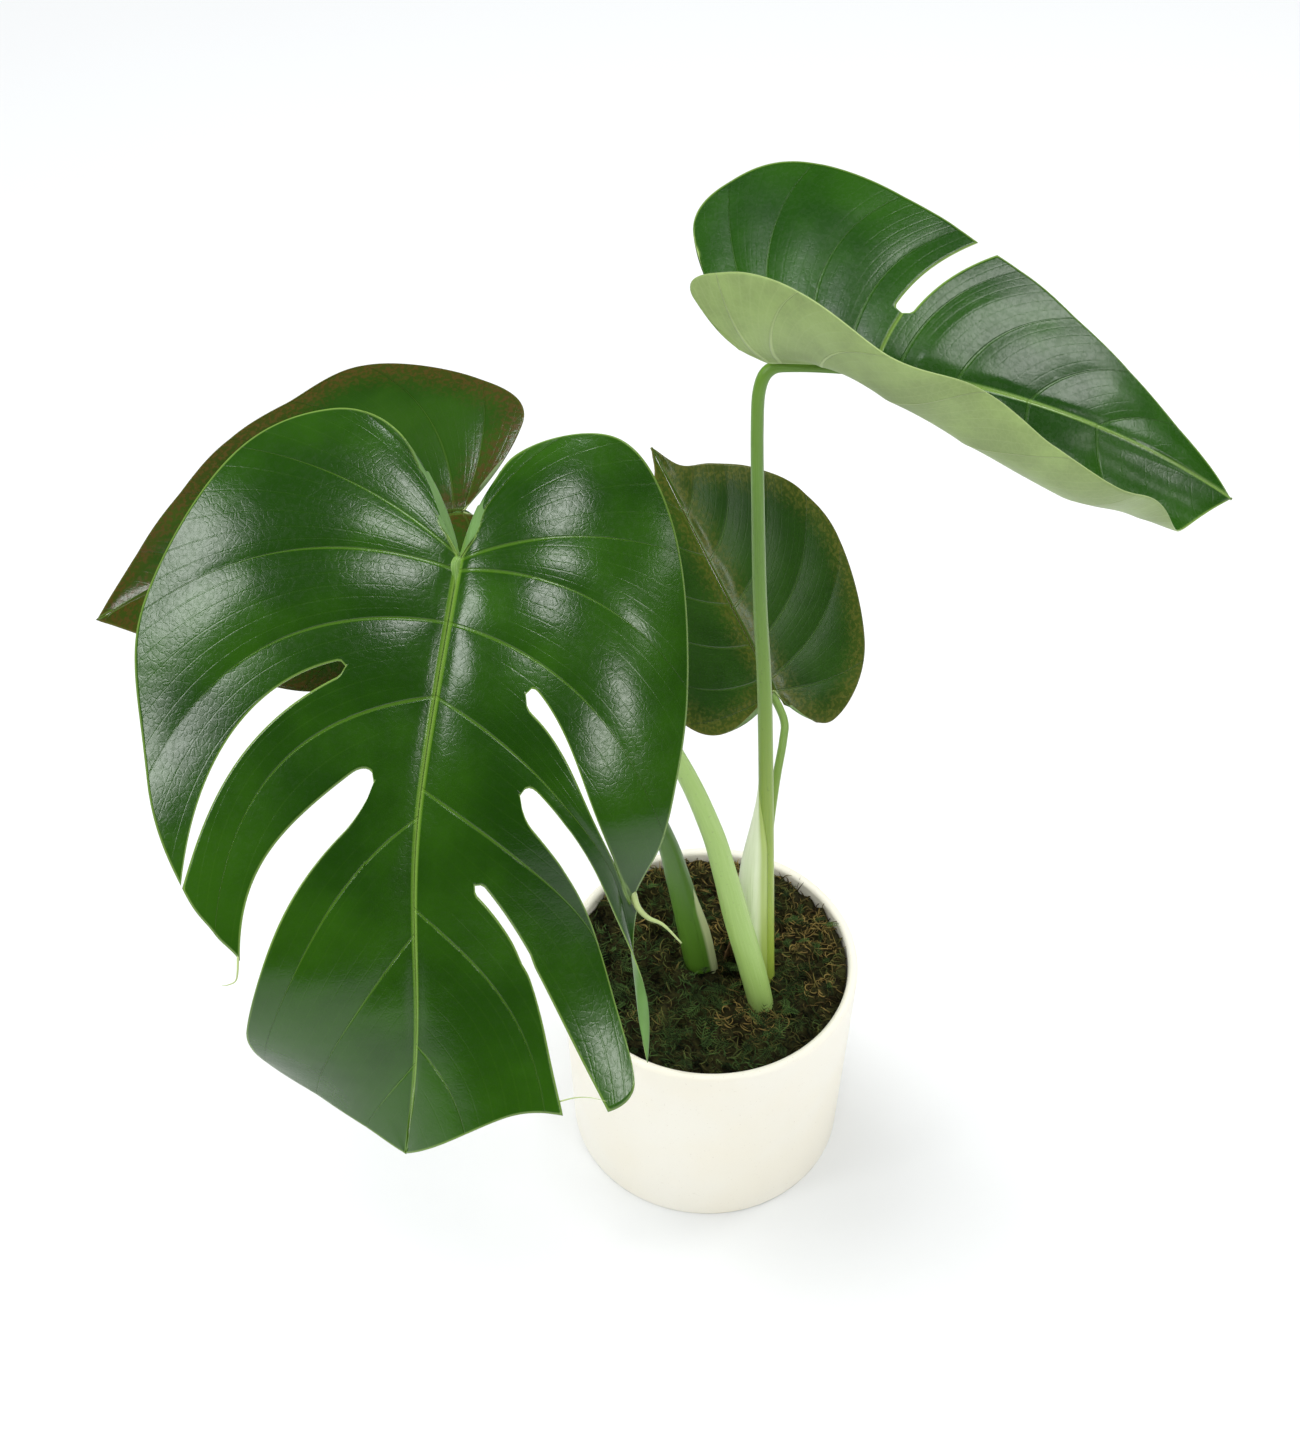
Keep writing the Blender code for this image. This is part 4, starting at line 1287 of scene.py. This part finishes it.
class MONSTERA_OT_moss(bpy.types.Operator):
    """Build the moss bed and its loose strands"""
    bl_idname = "monstera.moss"
    bl_label = "Build Moss"

    def execute(self, context):
        settings = context.scene.monstera_moss
        bed = MossBed(settings.lump)
        rings = np.linspace(0, bed.reach, 36)
        profile = [*((ring, bed.crown) for ring in rings), (bed.reach, bed.foot),
                   (0, bed.foot)]
        bm = bmesh.new()
        spin_profile(bm, profile, 144)
        for vert in bm.verts:
            if vert.co.z > bed.crown - 0.1 * MM:
                vert.co.z = bed.height(vert.co.x, vert.co.y)
        brown, olive, green = (tuple(colour) for colour in
                               (settings.brown, settings.olive, settings.green))
        # the bed is partly its own crumbly colour, partly painted shade: its near-black end
        # stands for the shade deep among the strands
        ground = crumb_material("moss_bed", scaled(brown, 0.08), scaled(olive, 0.5))
        piece = finish_mesh("moss_bed", bm, [ground], "moss")
        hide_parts("moss_layer")

        chance = random.Random(MOSS_SEED)
        loose = strand_material("moss_strands", scaled(green, 1.4), olive,
                                scaled(brown, 1.9))
        fresh = strand_material("moss_fronds", green, scaled(green, 1.7),
                                scaled(green, 3.2))
        for name, strands, material in (
                ("moss_strands", loose_strands(chance, settings.strands, bed), loose),
                ("moss_fronds", frond_strands(chance, settings.fronds, bed), fresh)):
            finish_mesh(name, strands_mesh(strands), [material], "moss",
                        merge=0.0005 * MM)
        return {"FINISHED"}


class MONSTERA_OT_petioles(bpy.types.Operator):
    """Build the four petioles and the midribs that they run on into"""
    bl_idname = "monstera.petioles"
    bl_label = "Build Petioles"

    def execute(self, context):
        settings = context.scene.monstera_petiole
        pale, deep = tuple(settings.pale), tuple(settings.deep)
        mid = (0.105, 0.225, 0.016)
        lime = (0.36, 0.47, 0.06)
        # slot, name, colours of the foot, top and streaks, span of the run (m)
        finishes = {
            "petiole_upper": ("petiole_pale", "upper_stalk", lime, mid,
                              (0.16, 0.30, 0.04), (0.0, 0.30)),
            "petiole_front": ("petiole_light", "front_stalk", pale, (0.09, 0.20, 0.02),
                              (0.42, 0.58, 0.20), (0.22, 0.38)),
            "petiole_back": ("petiole_dark", "back_stalk", (0.10, 0.24, 0.02), deep,
                             (0.10, 0.20, 0.03), (0.0, 0.2)),
            "petiole_small": ("petiole_light", "small_stalk", lime, (0.16, 0.28, 0.05),
                              (0.26, 0.38, 0.10), (0.0, 0.15)),
        }
        for name, (slot, *looks) in finishes.items():
            build_petiole(name, PETIOLES[name], stalk_material(*looks), slot,
                          settings.sides)
        return {"FINISHED"}


class MONSTERA_OT_sheaths(bpy.types.Operator):
    """Build the pale sheath wings and the dry bract"""
    bl_idname = "monstera.sheaths"
    bl_label = "Build Sheaths"

    def execute(self, context):
        settings = context.scene.monstera_petiole
        pale = sheath_material("pale_sheath", settings.sheath, (0.36, 0.48, 0.10))
        build_wing("sheath_upper", "petiole_upper", 118, 270,
                   lambda up: (10 * MM * ease(0.02, 0.5, 1 - up)
                               * (0.4 + 0.6 * ease(0, 0.35, up))),
                   (275, 190), -0.25, pale)
        edge = sheath_material("back_sheath", (0.60, 0.66, 0.36), (0.10, 0.24, 0.02))
        build_wing("sheath_back", "petiole_back", 113, 188,
                   lambda up: 2.4 * MM * ease(0, 0.6, 1 - up),
                   (-62, -12), -0.2, edge)
        build_dry_bract(dry_material("dry_bract_fibre", settings.dry))
        return {"FINISHED"}


class MONSTERA_OT_leaves(bpy.types.Operator):
    """Build the four leaf blades"""
    bl_idname = "monstera.leaves"
    bl_label = "Build Leaves"

    def execute(self, context):
        settings = context.scene.monstera_leaf
        deep, bright = tuple(settings.deep), tuple(settings.bright)
        vein, margin = tuple(settings.vein), tuple(settings.margin)
        under = tuple(settings.underside)
        finishes = {
            "leaf_front": ("leaf_bright", [
                leaf_top_material("front_top", deep, bright, vein, margin),
                leaf_under_material("front_under", (0.10, 0.22, 0.045), vein),
                margin_material("front_margin", margin)]),
            "leaf_upper": ("leaf_new", [
                leaf_top_material("upper_top", (0.007, 0.040, 0.0015), (0.020, 0.080, 0.004),
                                  (0.045, 0.115, 0.014), margin, 0.35, 0.26),
                leaf_under_material("upper_under", under, (0.42, 0.52, 0.22)),
                margin_material("upper_margin", (0.36, 0.46, 0.18))]),
            "leaf_back": ("leaf_dark", [
                leaf_top_material("back_top", (0.010, 0.040, 0.003), (0.024, 0.075, 0.005),
                                  (0.06, 0.12, 0.015), (0.10, 0.10, 0.02), 0.3, 0.2,
                                  (0.055, 0.040, 0.007), 0.020),
                leaf_under_material("back_under", (0.16, 0.24, 0.09), (0.30, 0.38, 0.15)),
                margin_material("back_margin", (0.10, 0.10, 0.03))]),
            "leaf_small": ("leaf_speckled", [
                leaf_top_material("small_top", (0.010, 0.040, 0.002), (0.022, 0.072, 0.004),
                                  (0.05, 0.11, 0.012), (0.12, 0.12, 0.02), 0.35, 0.3,
                                  (0.075, 0.090, 0.008), 0.018),
                leaf_under_material("small_under", (0.14, 0.24, 0.07), (0.28, 0.38, 0.13)),
                margin_material("small_margin", (0.14, 0.13, 0.04))]),
        }
        for name, (slot, materials) in finishes.items():
            build_blade(name, LEAVES[name], materials, slot, settings)
        thread = margin_material("dry_thread", (0.42, 0.52, 0.20))
        for name, (route, radius) in THREADS.items():
            build_thread(name, route, radius, thread, "leaf_bright")
        return {"FINISHED"}


class MONSTERA_OT_stage(bpy.types.Operator):
    """Set up the floor, lights and camera"""
    bl_idname = "monstera.stage"
    bl_label = "Set Up Stage"

    def execute(self, context):
        settings = context.scene.monstera_stage
        bm = bmesh.new()
        bmesh.ops.create_grid(bm, x_segments=1, y_segments=1, size=4)
        mesh = bpy.data.meshes.new("floor")
        bm.to_mesh(mesh)
        bm.free()
        mesh.materials.append(floor_material("plain_floor", tuple(settings.floor)))
        add_object("floor", mesh)

        world = bpy.data.worlds.new("soft_daylight")
        context.scene.world = world
        world.use_nodes = True
        sky = world.node_tree.nodes["Background"]
        sky.inputs["Color"].default_value = (0.97, 0.985, 1.0, 1)
        sky.inputs["Strength"].default_value = settings.daylight
        world.cycles_visibility.glossy = False

        sun = bpy.data.lights.new("skylight", "SUN")
        sun.energy = settings.skylight
        sun.angle = math.radians(SKYLIGHT_SPREAD)
        holder = add_object("skylight", sun)
        holder.visible_glossy = False
        aim = Vector(SKYLIGHT_AIM)
        holder.rotation_euler = aim.to_track_quat("-Z", "Y").to_euler()
        for name, turn, rise, size, radiance, tint in SOFTBOXES:
            lamp = bpy.data.lights.new(name, "AREA")
            lamp.size = size
            lamp.energy = settings.softboxes * radiance * math.pi * size * size
            lamp.color = tint
            holder = add_object(name, lamp)
            turn, rise = math.radians(turn), math.radians(rise)
            toward = Vector((math.cos(rise) * math.sin(turn),
                             math.cos(rise) * math.cos(turn), math.sin(rise)))
            holder.location = Vector(SOFTBOX_TARGET) + toward * SOFTBOX_DISTANCE
            holder.rotation_euler = (-toward).to_track_quat("-Z", "Y").to_euler()

        camera_data = bpy.data.cameras.new("camera")
        camera_data.lens = settings.lens
        camera_data.sensor_width = SENSOR_WIDTH
        camera = add_object("camera", camera_data)
        camera.location = CAMERA_PLACE
        camera.rotation_euler = (math.radians(90 - CAMERA_DOWN), 0, 0)
        context.scene.camera = camera
        context.scene.view_settings.view_transform = "Standard"
        return {"FINISHED"}


OPERATORS = (MONSTERA_OT_stage, MONSTERA_OT_pot, MONSTERA_OT_soil, MONSTERA_OT_moss,
             MONSTERA_OT_petioles, MONSTERA_OT_sheaths, MONSTERA_OT_leaves)


class MONSTERA_PT_sidebar(bpy.types.Panel):
    """Lists the building steps and the main settings"""
    bl_idname = "MONSTERA_PT_sidebar"
    bl_label = "Potted Monstera"
    bl_space_type = "VIEW_3D"
    bl_region_type = "UI"
    bl_category = "Monstera"

    def draw(self, context):
        for operator in OPERATORS:
            self.layout.operator(operator.bl_idname)
        for name, kind in SETTINGS.items():
            box = self.layout.box()
            for setting in kind.__annotations__:
                box.prop(getattr(context.scene, name), setting)


def register():
    for kind in (*SETTINGS.values(), *OPERATORS, MONSTERA_PT_sidebar):
        bpy.utils.register_class(kind)
    for name, kind in SETTINGS.items():
        setattr(bpy.types.Scene, name, PointerProperty(type=kind))


def unregister():
    for name in SETTINGS:
        delattr(bpy.types.Scene, name)
    for kind in reversed((*SETTINGS.values(), *OPERATORS, MONSTERA_PT_sidebar)):
        bpy.utils.unregister_class(kind)


def main():
    register()
    bpy.ops.monstera.stage()
    bpy.ops.monstera.pot()
    bpy.ops.monstera.soil()
    bpy.ops.monstera.moss()
    bpy.ops.monstera.petioles()
    bpy.ops.monstera.sheaths()
    bpy.ops.monstera.leaves()


if __name__ == "__main__":
    main()
